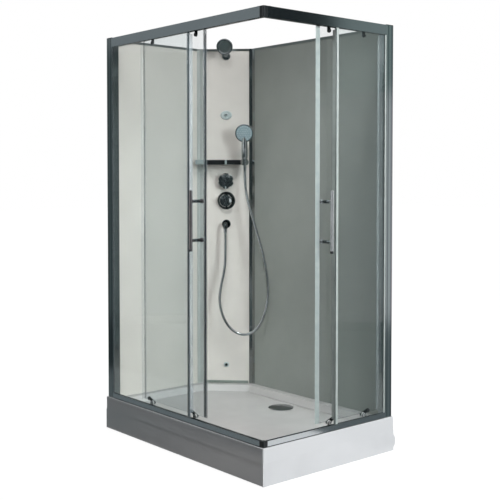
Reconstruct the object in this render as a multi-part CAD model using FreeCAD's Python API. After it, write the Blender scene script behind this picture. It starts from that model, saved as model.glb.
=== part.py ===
"""Corner-entry shower enclosure with two sliding doors, a raised tray and a corner fittings column.

Millimetres, +Z up. The origin is on the floor under the middle of the tray.
X runs along the long side, Y along the short side. The two glazed runs stand on the
front (-Y) and on the right (+X) and meet, without a post, at the entry corner (+X, -Y).
The end wall (-X) and the back wall (+Y) close the other two sides, and a fittings
column stands across their corner.
"""
import FreeCAD, Part
import math
import os

V = FreeCAD.Vector

# ---------------------------------------------------------------- overall sizes
tray_length = 1200.0
tray_width = 800.0
rim_height = 160.0            # floor to the top of the tray rim
overall_height = 1950.0       # floor to the top of the frame
frame_inset = 8.0             # outer face of the frame to the edge of the tray

# ---------------------------------------------------------------- tray
lip_depth = 62.0              # outer turned-down lip of the rim
lip_wall = 5.0
rim_thickness = 6.0
rim_width = 48.0              # tray edge to the basin
basin_side_slope = 22.0       # how far the basin wall leans in on its way down
basin_depth = 43.0
basin_corner_r = 60.0
tray_corner_r = 6.0
rim_edge_r = 2.5
underside_height = 92.0       # floor to the flat reinforced underside
ledge_drop = 12.0             # the wall panels stand this far below the rim
floor_fall = 0.012            # fall of the basin floor towards the waste
waste_x = 0.0
waste_y = 243.0
waste_hole_d = 90.0
waste_flange_d = 112.0
waste_flange_t = 2.5
trap_d = 86.0
trap_low = 34.0               # floor to the trap's underside
trap_wall = 4.0
trap_edge = 6.0
throat_d = 62.0
outlet_pipe_d = 40.0
outlet_pipe_wall = 2.0
outlet_pipe_z = 62.0
outlet_pipe_length = 55.0     # the free end that a waste socket goes over
outlet_boss_d = 47.0
outlet_boss_reach = 32.0      # boss, past the trap's side
cover_d = 126.0
cover_rise = 9.0
cover_edge_rise = 2.0         # underside of the cover's edge above the waste
cover_edge_t = 1.6
cover_stem_length = 14.0
cover_stem_play = 0.5
cover_leg_d = 6.0
cover_leg_inset = 7.0
apron_thickness = 4.0
apron_return = 18.0           # inward flange along the top of an apron
apron_floor_gap = 3.0
apron_set_back = 3.5          # front apron leans in this much at the entry corner
apron_ear = 12.0              # rounded ear of the side apron past the back of the tray
apron_ear_low = 15.0
apron_ear_high = 72.0

# ---------------------------------------------------------------- supports
bar_size = 30.0
bar_wall = 2.0
bar_end_gap = 60.0            # end of a long bar to the tray edge
bar_edge_gap = 75.0           # middle of a long bar to the tray edge
bar_middle_length = 500.0
foot_end_gap = 120.0          # foot to the tray edge
pad_d = 56.0
pad_height = 14.0
foot_screw_d = 12.0
foot_nut_d = 22.0
foot_nut_height = 9.0

# ---------------------------------------------------------------- frame sections
frame_depth = 44.0            # rails and posts, outer face to inner face
post_width = 44.0
wall_t = 2.0                  # wall of the extrusions
cap_t = 2.5                   # caps on the posts
cap_plug = 14.0
top_rail_height = 45.0
top_rail_inner_drop = 20.0
bottom_rail_height = 25.0
bottom_rail_base = 2.5
bottom_lip_height = 8.0
glass_t = 6.0
fixed_glass_v = 3.0           # outer face of the frame to the fixed glass
glazing_slot = 8.0
slot_depth = 12.0
door_glass_v = 28.0           # outer face of the frame to the door glass
rib_v = 23.0                  # middle of the track rib
rib_t = 2.0
top_rib_height = 7.0          # track rib over the underside of the top rail
bottom_rib_height = 22.0      # track rib over the rim
corner_block = 24.0
corner_block_r = 8.0
corner_tongue = 30.0
gasket_w = 8.0
gasket_t = 1.5
entry_front = 504.0           # entry corner to the free edge of the fixed glass
entry_side = 417.0
fixed_top_gap = 4.0
screw_head_d = 7.0
screw_head_t = 2.2
screw_d = 3.6
screw_length = 12.0
screw_count = 3

# ---------------------------------------------------------------- doors
front_open = 379.0            # how far each door stands open
side_open = 291.0
door_overlap = 15.0           # closed door past the free edge of the fixed glass
door_bottom_gap = 6.5         # bottom axle to the lower edge of the door glass
door_top_gap = 13.0           # upper edge of the door glass to the top axle
seal_t = 1.5
seal_nose = 16.0
seal_grip = 10.0
meet_clearance = 0.3
fin_t = 1.6
fin_tip_v = 23.0
fin_end_gap = 16.0            # seal fins stop this far short of the track ribs
wheel_r = 11.0
wheel_groove_r = 9.0
wheel_width = 8.0
wheel_groove_w = 3.2
wheel_clearance = 0.3
axle_d = 5.0
axle_clearance = 0.05
carrier_t = 4.0
carrier_r = 9.0
top_hanger = 28.0             # top axle down to its glass fixing
bottom_arm_u = 37.0           # bottom axle to its glass fixing, along and up
bottom_arm_z = 13.0
fixing_d = 7.0
fixing_cap_d = 16.0
fixing_cap_t = 2.5
roller_lead_inset = 85.0
roller_trail_inset_front = 74.0
roller_trail_inset_side = 105.0
handle_inset = 42.0           # leading tip of the door to the handle
handle_height = 1071.0
handle_length = 268.0
handle_d = 15.0
handle_standoff = 60.0        # door glass to the middle of the bar
handle_pitch = 172.0
handle_foot_d = 20.0
handle_foot_t = 4.0
handle_neck_d = 10.0

# ---------------------------------------------------------------- walls and column
panel_t = 5.0
panel_inset = 2.0             # outer face of the frame to the back of a wall panel
panel_slot_depth = 8.0
panel_clearance = 0.2
column_leg = 200.0            # corner cut off by the column, along each wall
profile_arm = 18.0
profile_t = 2.0
profile_web = 3.0
trim_height = 12.0
trim_t = 1.6

# ---------------------------------------------------------------- fittings on the column
overhead_z = 1912.0
overhead_flange_d = 44.0
overhead_flange_t = 6.0
overhead_tube_d = 18.0
riser_out = 22.0              # upright part of the arm, out from the column
ball_out = 58.0               # ball centre, out from the column and up from the flange
ball_up = 48.0
arm_droop = 12.0              # degrees the arm's end looks down
arm_neck_d = 12.0
ball_r = 12.0
collar_r = 16.5
joint_clearance = 0.3
head_d = 86.0
head_face_out = 32.0
head_rim_t = 10.0
head_droop = 20.0             # degrees the head looks down
jet_upper_z = 1596.0
jet_lower_z = 249.0
jet_width = 60.0
jet_height = 48.0
jet_t = 7.0
jet_ball_r = 13.0
jet_shank_d = 34.0
jet_shank_length = 26.0       # behind the panel
jet_pipe_y = 22.0             # the jet's pipe, behind the face of the column
jet_small_d = 28.0
jet_small_shank_d = 16.0
shelf_top_z = 1355.0
shelf_lip = 24.0
shelf_t = 5.0
shelf_front_s = 64.0          # out from the column face
shelf_left = -156.0           # front edge, along the column face
shelf_right = 84.0
shelf_back_left = -112.0
shelf_back_right = 74.0
handset_x = 105.0
handset_z = 1344.0
handset_s = 72.0
handset_tilt = 8.0            # degrees
holder_cup_r = 17.0
holder_cup_height = 30.0
holder_gap_w = 17.0
holder_arm_d = 16.0
holder_foot_d = 32.0
handle_cone_r = 12.0          # hand-shower handle at the top of the cup
handle_taper = 0.03
handset_head_d = 96.0
handset_head_up = 153.0
handset_head_t = 20.0
handset_look_down = 12.0      # degrees
outlet_z = 1012.0
outlet_s = 50.0
outlet_d = 22.0
outlet_flange_d = 46.0
outlet_flange_t = 6.0
outlet_drop = 24.0
nut_length = 22.0
nut_d = 19.0
mixer_z = 1138.0
valve_pitch = 105.0            # mixer spindle to diverter spindle
mixer_rosette_d = 96.0
mixer_rosette_t = 9.0
mixer_knob_d = 70.0
mixer_knob_depth = 30.0
diverter_z = mixer_z + valve_pitch
diverter_rosette_d = 62.0
diverter_rosette_t = 7.0
diverter_knob_d = 84.0
diverter_knob_depth = 28.0
knob_gap = 0.6
spindle_d = 12.0
spindle_clearance = 0.05
valve_hole_d = 36.0
valve_collar_d = 35.0
mixer_body_d = 62.0
diverter_body_d = 52.0
valve_depth = 66.0
valve_flange_t = 3.0
inlet_spread = 50.0
inlet_d = 20.9
inlet_length = 16.0
pipe_d = 15.0
socket_d = 20.0
socket_length = 8.0
side_pipe_x = 76.0            # side pipes, from the middle of the column
pipe_depth = 42.0             # pipes behind the column face

# ---------------------------------------------------------------- hose
hose_d = 14.0
# Route of the hose in the column's frame: along, out from the face, height.
hose_route = [
    (0.0, 50.0, 888.0), (-1.0, 55.0, 780.0), (-24.0, 68.0, 676.0), (-31.0, 80.0, 592.0),
    (-2.0, 94.0, 502.0), (47.0, 102.0, 444.0), (112.0, 111.0, 426.0), (170.0, 119.0, 456.0),
    (206.0, 124.0, 515.0), (229.0, 127.0, 600.0), (236.0, 129.0, 699.0), (208.0, 124.0, 862.0),
    (157.0, 104.0, 1027.0), (120.0, 78.0, 1143.0),
]
hose_last_run = 78.0          # in line with the hand shower


# ================================================================ helpers
def box(x0, x1, y0, y1, z0, z1):
    return Part.makeBox(x1 - x0, y1 - y0, z1 - z0, V(x0, y0, z0))


def cylinder(start, direction, diameter, length):
    return Part.makeCylinder(diameter / 2, length, start, direction)


def rounded_wire(points, radii, z=0.0):
    """Closed outline through the points, each corner rounded by its own radius."""
    count = len(points)
    pts = [V(p[0], p[1], z) for p in points]
    if not isinstance(radii, (list, tuple)):
        radii = [radii] * count
    starts, ends, arcs = [], [], []
    for i, corner in enumerate(pts):
        before = (pts[i - 1] - corner).normalize()
        after = (pts[(i + 1) % count] - corner).normalize()
        half = before.getAngle(after) / 2
        r = radii[i]
        if r <= 0:
            starts.append(corner)
            ends.append(corner)
            arcs.append(None)
            continue
        a = corner + before * (r / math.tan(half))
        b = corner + after * (r / math.tan(half))
        middle = (before + after).normalize()
        centre = corner + middle * (r / math.sin(half))
        starts.append(a)
        ends.append(b)
        arcs.append(Part.Arc(a, centre - middle * r, b).toShape())
    edges = []
    for i in range(count):
        if arcs[i] is not None:
            edges.append(arcs[i])
        nxt = (i + 1) % count
        if (starts[nxt] - ends[i]).Length > 1e-6:
            edges.append(Part.LineSegment(ends[i], starts[nxt]).toShape())
    return Part.Wire(edges)


def prism(points, z0, z1, radii=0.0):
    face = Part.Face(rounded_wire(points, radii, z0))
    return face.extrude(V(0, 0, z1 - z0))


def section_run(outline, u0, u1, holes=()):
    """A section drawn as (v, z) points, drawn out along u."""
    def wire(points):
        return Part.makePolygon([V(u0, v, z) for v, z in list(points) + [points[0]]])
    face = Part.Face([wire(outline)] + [wire(hole) for hole in holes])
    return face.extrude(V(u1 - u0, 0, 0))


def turned(profile, origin, axis, start=V(1, 0, 0)):
    """Solid of revolution from (radius, along) points about an axis through the origin."""
    axis = V(axis).normalize()
    side = (start - axis * start.dot(axis))
    if side.Length < 1e-6:
        side = V(0, 1, 0) - axis * axis.y
    side.normalize()
    pts = [origin + side * r + axis * h for r, h in profile]
    face = Part.Face(Part.makePolygon(pts + [pts[0]]))
    return face.revolve(origin, axis, 360)


def bent_wire(points, radius=None):
    """Straight runs joined by tangent arcs. With no radius given, each arc is as large as
    its two runs allow. Returns the wire, its length and the radii."""
    pts = [V(*p) for p in points]
    edges, radii, length = [], [], 0.0
    last = pts[0]
    for i in range(1, len(pts) - 1):
        a, b = pts[i] - pts[i - 1], pts[i + 1] - pts[i]
        turn = a.getAngle(b)
        if radius is None:
            reach = 0.45 * min(a.Length, b.Length)
        else:
            reach = radius * math.tan(turn / 2)
        r = reach / math.tan(turn / 2)
        ua, ub = V(a).normalize(), V(b).normalize()
        start, end = pts[i] - ua * reach, pts[i] + ub * reach
        middle = (ub - ua).normalize()
        centre = pts[i] + middle * (r / math.cos(turn / 2))
        if (start - last).Length > 1e-6:
            edges.append(Part.LineSegment(last, start).toShape())
            length += (start - last).Length
        edges.append(Part.Arc(start, centre - middle * r, end).toShape())
        length += r * turn
        radii.append(r)
        last = end
    edges.append(Part.LineSegment(last, pts[-1]).toShape())
    length += (pts[-1] - last).Length
    return Part.Wire(edges), length, radii


def tube_along(points, diameter, radius=None):
    path, length, radii = bent_wire(points, radius)
    first = V(*points[0])
    heading = (V(*points[1]) - first).normalize()
    ring = Part.Wire(Part.Circle(first, heading, diameter / 2).toShape())
    return path.makePipeShell([ring], True, True), length, radii


def fused(shapes):
    result = shapes[0]
    if len(shapes) > 1:
        result = result.multiFuse(shapes[1:])
    return result.removeSplitter()


def save(node, *solids):
    shape = solids[0] if len(solids) == 1 else Part.makeCompound(list(solids))
    shape.exportStep("parts/" + node + ".step")


os.makedirs("parts", exist_ok=True)

# ================================================================ shared places
half_l = tray_length / 2
half_w = tray_width / 2
frame_x = half_l - frame_inset          # outer faces of the frame
frame_y = half_w - frame_inset
run_front = 2 * frame_x
run_side = 2 * frame_y
top_rail_low = overall_height - top_rail_height
ledge_height = rim_height - ledge_drop
panel_face_x = frame_x - panel_inset - panel_t      # faces of the walls towards the cabin
panel_face_y = frame_y - panel_inset - panel_t
column_x = -panel_face_x + column_leg / 2           # middle of the column's face
column_y = panel_face_y - column_leg / 2
column_half = column_leg / math.sqrt(2)
basin_floor = rim_height - basin_depth
waste_low = basin_floor - floor_fall * (half_l - rim_width)


def to_front(shape):
    """From a run's own frame (u from the entry corner, v inwards) to the front."""
    return shape.mirror(V(0, 0, 0), V(1, 0, 0)).translate(V(frame_x, -frame_y, 0))


def to_side(shape):
    """From a run's own frame to the right-hand side."""
    turned_shape = shape.copy()
    turned_shape.rotate(V(0, 0, 0), V(0, 0, 1), 90)
    return turned_shape.translate(V(frame_x, -frame_y, 0))


def to_column(shape):
    """From the column's frame (x along its face, -y out of it) to the corner."""
    placed = shape.copy()
    placed.rotate(V(0, 0, 0), V(0, 0, 1), 45)
    return placed.translate(V(column_x, column_y, 0))


# ================================================================ tray
def tray_outline(inset, chamfer_in):
    """Outline of the tray, or of its basin, set in by the same amount on every side.
    The basin's corner under the column is cut off parallel to the column."""
    x, y = half_l - inset, half_w - inset
    if chamfer_in is None:
        return [(-x, -y), (x, -y), (x, y), (-x, y)]
    line = (panel_face_x + panel_face_y - column_leg) - chamfer_in * math.sqrt(2)
    return [(-x, -y), (x, -y), (x, y), (y - line, y), (-x, line - x)]


column_margin = rim_width - frame_inset - panel_inset - panel_t
low_inset = rim_width + basin_side_slope
body = prism(tray_outline(0, None), rim_height - lip_depth, rim_height, tray_corner_r)
top_edges = [e for e in body.Edges
             if all(abs(p.Point.z - rim_height) < 1e-6 for p in e.Vertexes)]
body = body.makeFillet(rim_edge_r, top_edges)
# hollow under the rim, between the lip and the basin
under = prism(tray_outline(lip_wall, None), rim_height - lip_depth - 1, rim_height - rim_thickness,
              tray_corner_r / 2)
pan_inset = rim_width - rim_thickness
pan = prism(tray_outline(pan_inset, column_margin - rim_thickness), underside_height,
            rim_height - rim_thickness / 2, basin_corner_r)
body = body.cut(under).fuse(pan)
# ledge for the wall panels along the end and the back
ledge_out_x, ledge_out_y = half_l - frame_inset + 0.5, half_w - frame_inset + 0.5
ledge_end = box(-ledge_out_x, -half_l + rim_width + basin_side_slope,
                -frame_y + frame_depth + 0.5, ledge_out_y, ledge_height, rim_height + 1)
ledge_back = box(-ledge_out_x, frame_x - frame_depth - 0.5,
                 half_w - rim_width - basin_side_slope, ledge_out_y, ledge_height, rim_height + 1)
corner_x = -half_l + rim_width
corner_y = half_w - rim_width
ledge_corner = prism([(corner_x, corner_y), (corner_x, corner_y - column_leg - column_margin),
                      (corner_x + column_leg + column_margin, corner_y)],
                     ledge_height, rim_height + 1)
# the rim under the ledge is thickened by the drop, so that the ledge keeps its wall
ledge_backing = box(-half_l + lip_wall / 2, frame_x - frame_depth, half_w - rim_width - 2,
                    half_w - lip_wall / 2, ledge_height - rim_thickness, rim_height - rim_thickness / 2)
ledge_backing = ledge_backing.fuse(
    box(-half_l + lip_wall / 2, -half_l + rim_width + 2, -frame_y + frame_depth,
        half_w - lip_wall / 2, ledge_height - rim_thickness, rim_height - rim_thickness / 2))
backing_leg = lip_wall / 2 + rim_width + column_leg + column_margin
backing_x, backing_y = -half_l + lip_wall / 2, half_w - lip_wall / 2
backing_corner = prism([(backing_x, backing_y), (backing_x, backing_y - backing_leg - rim_width),
                        (backing_x + backing_leg + rim_width, backing_y)],
                       ledge_height - rim_thickness, rim_height - rim_thickness / 2)
body = body.fuse(ledge_backing).fuse(backing_corner)
# basin: leaning walls down to the floor, then a floor that falls to the waste
upper = rounded_wire(tray_outline(rim_width, column_margin), basin_corner_r, rim_height + 0.01)
lower = rounded_wire(tray_outline(low_inset, column_margin + basin_side_slope),
                     basin_corner_r - basin_side_slope / 2, basin_floor)
basin = Part.makeLoft([upper, lower], True, True)
dish = Part.Face(rounded_wire(tray_outline(low_inset, column_margin + basin_side_slope),
                              basin_corner_r - basin_side_slope / 2, waste_low - 1))
dish = dish.extrude(V(0, 0, basin_floor - waste_low + 1))
reach = tray_length + tray_width
fall = turned([(0, waste_low), (reach, waste_low + floor_fall * reach),
               (reach, basin_floor + floor_fall * reach + 60), (0, basin_floor + floor_fall * reach + 60)],
              V(waste_x, waste_y, 0), V(0, 0, 1))
basin = basin.fuse(dish.common(fall))
waste_at = V(waste_x, waste_y, 0)
flange_seat = cylinder(waste_at + V(0, 0, waste_low - waste_flange_t), V(0, 0, 1),
                       waste_flange_d + 1, waste_flange_t + 10)
waste_hole = cylinder(waste_at + V(0, 0, underside_height - 1), V(0, 0, 1), waste_hole_d, 60)
tray = body.cut(basin.fuse(flange_seat).fuse(waste_hole))
tray = tray.cut(ledge_end.fuse(ledge_back).fuse(ledge_corner))


# ================================================================ frame rails and posts
v_in = frame_depth
slot_v = fixed_glass_v + glass_t / 2 - glazing_slot / 2      # outer side of the glazing slot
slot_in = slot_v + glazing_slot
rib_out, rib_in = rib_v - rib_t / 2, rib_v + rib_t / 2


def top_rail_section():
    low, top = top_rail_low, overall_height
    rib_top = low + top_rib_height
    return [(0, low), (0, top), (v_in, top), (v_in, top - top_rail_inner_drop),
            (v_in - wall_t, top - top_rail_inner_drop), (v_in - wall_t, top - wall_t),
            (slot_in + wall_t, top - wall_t), (slot_in + wall_t, low + wall_t),
            (rib_out, low + wall_t), (rib_out, rib_top - 0.5), (rib_out + 0.5, rib_top),
            (rib_in - 0.5, rib_top), (rib_in, rib_top - 0.5), (rib_in, low), (slot_in, low),
            (slot_in, top - wall_t), (slot_v, top - wall_t), (slot_v, low)]


def bottom_rail_section():
    low, top = rim_height, rim_height + bottom_rail_height
    floor = low + bottom_rail_base
    rib_top = low + bottom_rib_height
    return [(0, low), (0, top), (slot_v, top), (slot_v, floor), (slot_in, floor), (slot_in, top),
            (slot_in + wall_t, top), (slot_in + wall_t, floor), (rib_out, floor),
            (rib_out, rib_top - 0.5), (rib_out + 0.5, rib_top), (rib_in - 0.5, rib_top),
            (rib_in, rib_top - 0.5), (rib_in, floor), (v_in - wall_t, floor),
            (v_in - wall_t, low + bottom_lip_height), (v_in, low + bottom_lip_height), (v_in, low)]


def mitre(low, high):
    """What is cut off a rail at the entry corner: the corner block's place and a 45 degree mitre."""
    gap = meet_clearance / 2
    return prism([(-1, -1), (corner_block, -1), (corner_block, corner_block - gap),
                  (v_in + 1 + gap, v_in + 1), (-1, v_in + 1)], low - 1, high + 1)


def screw_places(run):
    first = corner_block + corner_tongue + 30.0
    last = run - post_width - 40.0
    return [first + (last - first) * i / (screw_count - 1) for i in range(screw_count)]


screw_v = (rib_in + v_in - wall_t) / 2


def rails(run):
    top = section_run(top_rail_section(), 0, run - post_width)
    top = top.cut(mitre(top_rail_low, overall_height))
    bottom = section_run(bottom_rail_section(), 0, run - post_width)
    bottom = bottom.cut(mitre(rim_height, rim_height + bottom_rail_height))
    for u in screw_places(run):
        bottom = bottom.cut(cylinder(V(u, screw_v, rim_height - 1), V(0, 0, 1), screw_d + 0.4, 10))
    hole = cylinder(V(corner_block + corner_tongue / 2, slot_v + glazing_slot / 2, overall_height - 5),
                    V(0, 0, 1), screw_d + 0.4, 10)
    return top.cut(hole), bottom


def post(run):
    """Closed extrusion with a glazing slot towards the corner and a panel slot inwards."""
    w, d, t = post_width, frame_depth, wall_t
    near = run - w
    outline = [(near, 0), (run, 0), (run, d), (run - panel_inset, d),
               (run - panel_inset, d - panel_slot_depth),
               (run - panel_inset - panel_t - 2 * panel_clearance, d - panel_slot_depth),
               (run - panel_inset - panel_t - 2 * panel_clearance, d), (near, d), (near, slot_in),
               (near + slot_depth, slot_in), (near + slot_depth, slot_v), (near, slot_v)]
    solid = prism(outline, rim_height, overall_height)
    chamber = prism([(near + slot_depth + t, t), (run - t, t), (run - t, d - panel_slot_depth - t),
                     (near + slot_depth + t, d - panel_slot_depth - t)],
                    rim_height - 1, overall_height + 1)
    side = prism([(near + t, slot_in + t), (near + slot_depth, slot_in + t),
                  (near + slot_depth, d - t), (near + t, d - t)], rim_height - 1, overall_height + 1)
    return solid.cut(chamber).cut(side)


def post_cap(run):
    """Cap on a post, with a plug in its chamber."""
    near = run - post_width
    c = meet_clearance
    t = wall_t
    plate = prism([(near, 0), (run, 0), (run, frame_depth), (near, frame_depth)],
                  overall_height, overall_height + cap_t, [0, 1.5, 0, 0])
    plug = prism([(near + slot_depth + t + c, t + c), (run - t - c, t + c),
                  (run - t - c, frame_depth - panel_slot_depth - t - c),
                  (near + slot_depth + t + c, frame_depth - panel_slot_depth - t - c)],
                 overall_height - cap_plug, overall_height)
    return plate.fuse(plug)


def screw(x, y, z):
    head = turned([(0, 0), (screw_head_d / 2, 0), (screw_head_d / 2, screw_head_t * 0.5),
                   (screw_head_d / 2 - 1.2, screw_head_t), (0, screw_head_t)], V(x, y, z), V(0, 0, 1))
    return head.fuse(cylinder(V(x, y, z), V(0, 0, -1), screw_d, screw_length))


screws, screw_holes, caps = [], [], []
for run, place in ((run_front, to_front), (run_side, to_side)):
    side_name = "front" if place is to_front else "side"
    top_rail, bottom_rail = rails(run)
    save("top_rail_" + side_name, place(top_rail))
    save("bottom_rail_" + side_name, place(bottom_rail))
    save("post_" + side_name, place(post(run)))
    caps.append(place(post_cap(run)))
    for u in screw_places(run):
        screws.append(place(screw(u, screw_v, rim_height + bottom_rail_base)))
        screw_holes.append(place(cylinder(V(u, screw_v, rim_height - screw_length), V(0, 0, 1),
                                          screw_d + 0.2, screw_length + 1)))
    screws.append(place(screw(corner_block + corner_tongue / 2, slot_v + glazing_slot / 2,
                              overall_height)))
save("frame_screws", *screws)
save("post_caps", *caps)
for hole in screw_holes:
    tray = tray.cut(hole)
save("shower_tray", tray)


def corner_bracket(low, high, tongue_low, tongue_high):
    """Corner block with a rounded, ribbed outer edge and a tongue in each rail's slot."""
    c = corner_block
    block = prism([(0, 0), (c, 0), (c, c), (0, c)], low, high, [corner_block_r, 0, 0, 0])
    for i in range(3):
        at = c - 4.0 - 4.0 * i
        groove = box(at - 1.2, at, -1, 0.8, low - 1, high + 1)
        other = box(-1, 0.8, at - 1.2, at, low - 1, high + 1)
        block = block.cut(groove).cut(other)
    hole_at = c + corner_tongue / 2
    middle = slot_v + glazing_slot / 2
    g = 0.3
    tongue = box(c - 1, c + corner_tongue, slot_v + g, slot_in - g, tongue_low, tongue_high)
    tongue2 = box(slot_v + g, slot_in - g, c - 1, c + corner_tongue, tongue_low, tongue_high)
    block = fused([block, tongue, tongue2])
    for x, y in ((hole_at, middle), (middle, hole_at)):
        block = block.cut(cylinder(V(x, y, tongue_high - screw_length), V(0, 0, 1),
                                   screw_d + 0.2, screw_length + 1))
    return block


# In a run's own frame the two runs are mirror images across u = v, so either placing serves.
save("corner_brackets",
     to_side(corner_bracket(top_rail_low, overall_height, top_rail_low + 4, overall_height - wall_t)),
     to_side(corner_bracket(rim_height, rim_height + bottom_rail_height, rim_height + bottom_rail_base,
                            rim_height + bottom_rail_height - 4)))


# ================================================================ fixed glass and its edge seal
def fixed_glass(run, entry):
    low = rim_height + bottom_rail_base
    high = overall_height - wall_t - fixed_top_gap
    end = run - post_width + slot_depth - 2.0
    return box(entry + 3.0, end, fixed_glass_v, fixed_glass_v + glass_t, low, high)


def fixed_seal(entry):
    """Grips the free edge of the fixed glass; its fin closes the gap to the door."""
    out, inn = fixed_glass_v, fixed_glass_v + glass_t
    low, high = rim_height + bottom_rail_height, top_rail_low
    t = min(seal_t, fixed_glass_v)
    grip = prism([(entry, out - t), (entry + seal_nose, out - t), (entry + seal_nose, out),
                  (entry + 3.0, out), (entry + 3.0, inn), (entry + seal_nose, inn),
                  (entry + seal_nose, inn + t), (entry, inn + t)], low, high)
    fin_low = rim_height + bottom_rib_height + 2 * wheel_groove_r + fin_end_gap - 10
    fin_high = top_rail_low + top_rib_height - fin_end_gap
    fin = box(entry, entry + fin_t, inn, fin_tip_v, fin_low, fin_high)
    return grip.fuse(fin)


def glazing_gasket(run):
    """Strip that closes the glazing slot of the post over the outer face of the glass."""
    near = run - post_width
    return box(near - gasket_w, near, fixed_glass_v - gasket_t, fixed_glass_v,
               rim_height + bottom_rail_height, top_rail_low)


# ================================================================ doors
top_axle_z = top_rail_low + top_rib_height + wheel_groove_r + wheel_clearance
bottom_axle_z = rim_height + bottom_rib_height + wheel_groove_r + wheel_clearance
glass_low = bottom_axle_z + door_bottom_gap
glass_high = top_axle_z - door_top_gap
door_in = door_glass_v + glass_t
closed_tip = door_glass_v - seal_t + meet_clearance


def lead_seal(tip):
    """Magnetic seal: a grip on the glass and a nose cut at 45 degrees to meet the other door."""
    out, inn = door_glass_v - seal_t, door_in + seal_t
    slope = inn - out
    end = tip + seal_nose + seal_grip
    return prism([(tip, out), (end, out), (end, door_glass_v), (tip + seal_nose, door_glass_v),
                  (tip + seal_nose, door_in), (end, door_in), (end, inn), (tip + slope, inn)],
                 glass_low, glass_high)


def trail_seal(end):
    """Grip on the trailing edge with a fin that hooks behind the fixed glass's fin."""
    out, inn = door_glass_v - seal_t, door_in + seal_t
    edge = end - 3.0
    grip = prism([(end, out), (end, inn), (edge - seal_grip, inn), (edge - seal_grip, door_in),
                  (edge, door_in), (edge, door_glass_v), (edge - seal_grip, door_glass_v),
                  (edge - seal_grip, out)], glass_low, glass_high)
    fin_low = rim_height + bottom_rail_height + 2.0
    fin_high = top_rail_low - 2.0
    fin_low = max(fin_low, glass_low)
    fin_high = min(fin_high, glass_high)
    fin = box(end - fin_t, end, fixed_glass_v + glass_t + seal_t + 2.5, out, fin_low, fin_high)
    return grip.fuse(fin)


def wheel(u, z):
    """Grooved roller that rides on a track rib."""
    half, groove = wheel_width / 2, wheel_groove_w / 2
    bore = axle_d / 2 + axle_clearance
    flare = 0.6
    rim = [(bore, -half), (wheel_r - 0.8, -half), (wheel_r, -half + 0.8), (wheel_r, -groove - flare),
           (wheel_groove_r, -groove), (wheel_groove_r, groove), (wheel_r, groove + flare),
           (wheel_r, half - 0.8), (wheel_r - 0.8, half), (bore, half)]
    return turned(rim, V(u, rib_v, z), V(0, 1, 0))


def axle(u, z):
    """Axle with a head outside the wheel and a shoulder on its inner side."""
    out, inn = rib_v - wheel_width / 2 - 0.3, rib_v + wheel_width / 2 + 0.3
    back = door_in + carrier_t / 2
    return turned([(0, out - 1.5), (axle_d / 2 + 1.5, out - 1.5), (axle_d / 2 + 1.5, out),
                   (axle_d / 2, out), (axle_d / 2, inn), (axle_d / 2 + 2.0, inn),
                   (axle_d / 2 + 2.0, back), (0, back)], V(u, 0, z), V(0, 1, 0))


def fixing(u, z):
    """Bolt through the glass with a cap on its outer face."""
    cap = turned([(0, door_glass_v - fixing_cap_t), (fixing_cap_d / 2 - 1, door_glass_v - fixing_cap_t),
                  (fixing_cap_d / 2, door_glass_v - fixing_cap_t + 1),
                  (fixing_cap_d / 2, door_glass_v), (0, door_glass_v)], V(u, 0, z), V(0, 1, 0))
    shank = cylinder(V(u, door_glass_v, z), V(0, 1, 0), fixing_d, glass_t + carrier_t / 2)
    button = turned([(0, door_in + carrier_t), (fixing_cap_d / 2 - 2, door_in + carrier_t),
                     (fixing_cap_d / 2 - 3, door_in + carrier_t + 2), (0, door_in + carrier_t + 2)],
                    V(u, 0, z), V(0, 1, 0))
    return [cap, shank, button]


def link_plate(a, b, r, v0, v1):
    """Plate with two round ends, flat against the glass."""
    ax, az = a
    bx, bz = b
    length = math.hypot(bx - ax, bz - az)
    nx, nz = -(bz - az) / length * r, (bx - ax) / length * r
    dx, dz = (bx - ax) / length * r, (bz - az) / length * r
    p = [V(ax + nx, v0, az + nz), V(ax - dx, v0, az - dz), V(ax - nx, v0, az - nz),
         V(bx - nx, v0, bz - nz), V(bx + dx, v0, bz + dz), V(bx + nx, v0, bz + nz)]
    wire = Part.Wire([Part.Arc(p[0], p[1], p[2]).toShape(), Part.LineSegment(p[2], p[3]).toShape(),
                      Part.Arc(p[3], p[4], p[5]).toShape(), Part.LineSegment(p[5], p[0]).toShape()])
    return Part.Face(wire).extrude(V(0, v1 - v0, 0))


def carrier(wheel_at, fixing_at):
    plate = link_plate(wheel_at, fixing_at, carrier_r, door_in, door_in + carrier_t)
    return fused([plate, axle(*wheel_at)] + fixing(*fixing_at))


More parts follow.
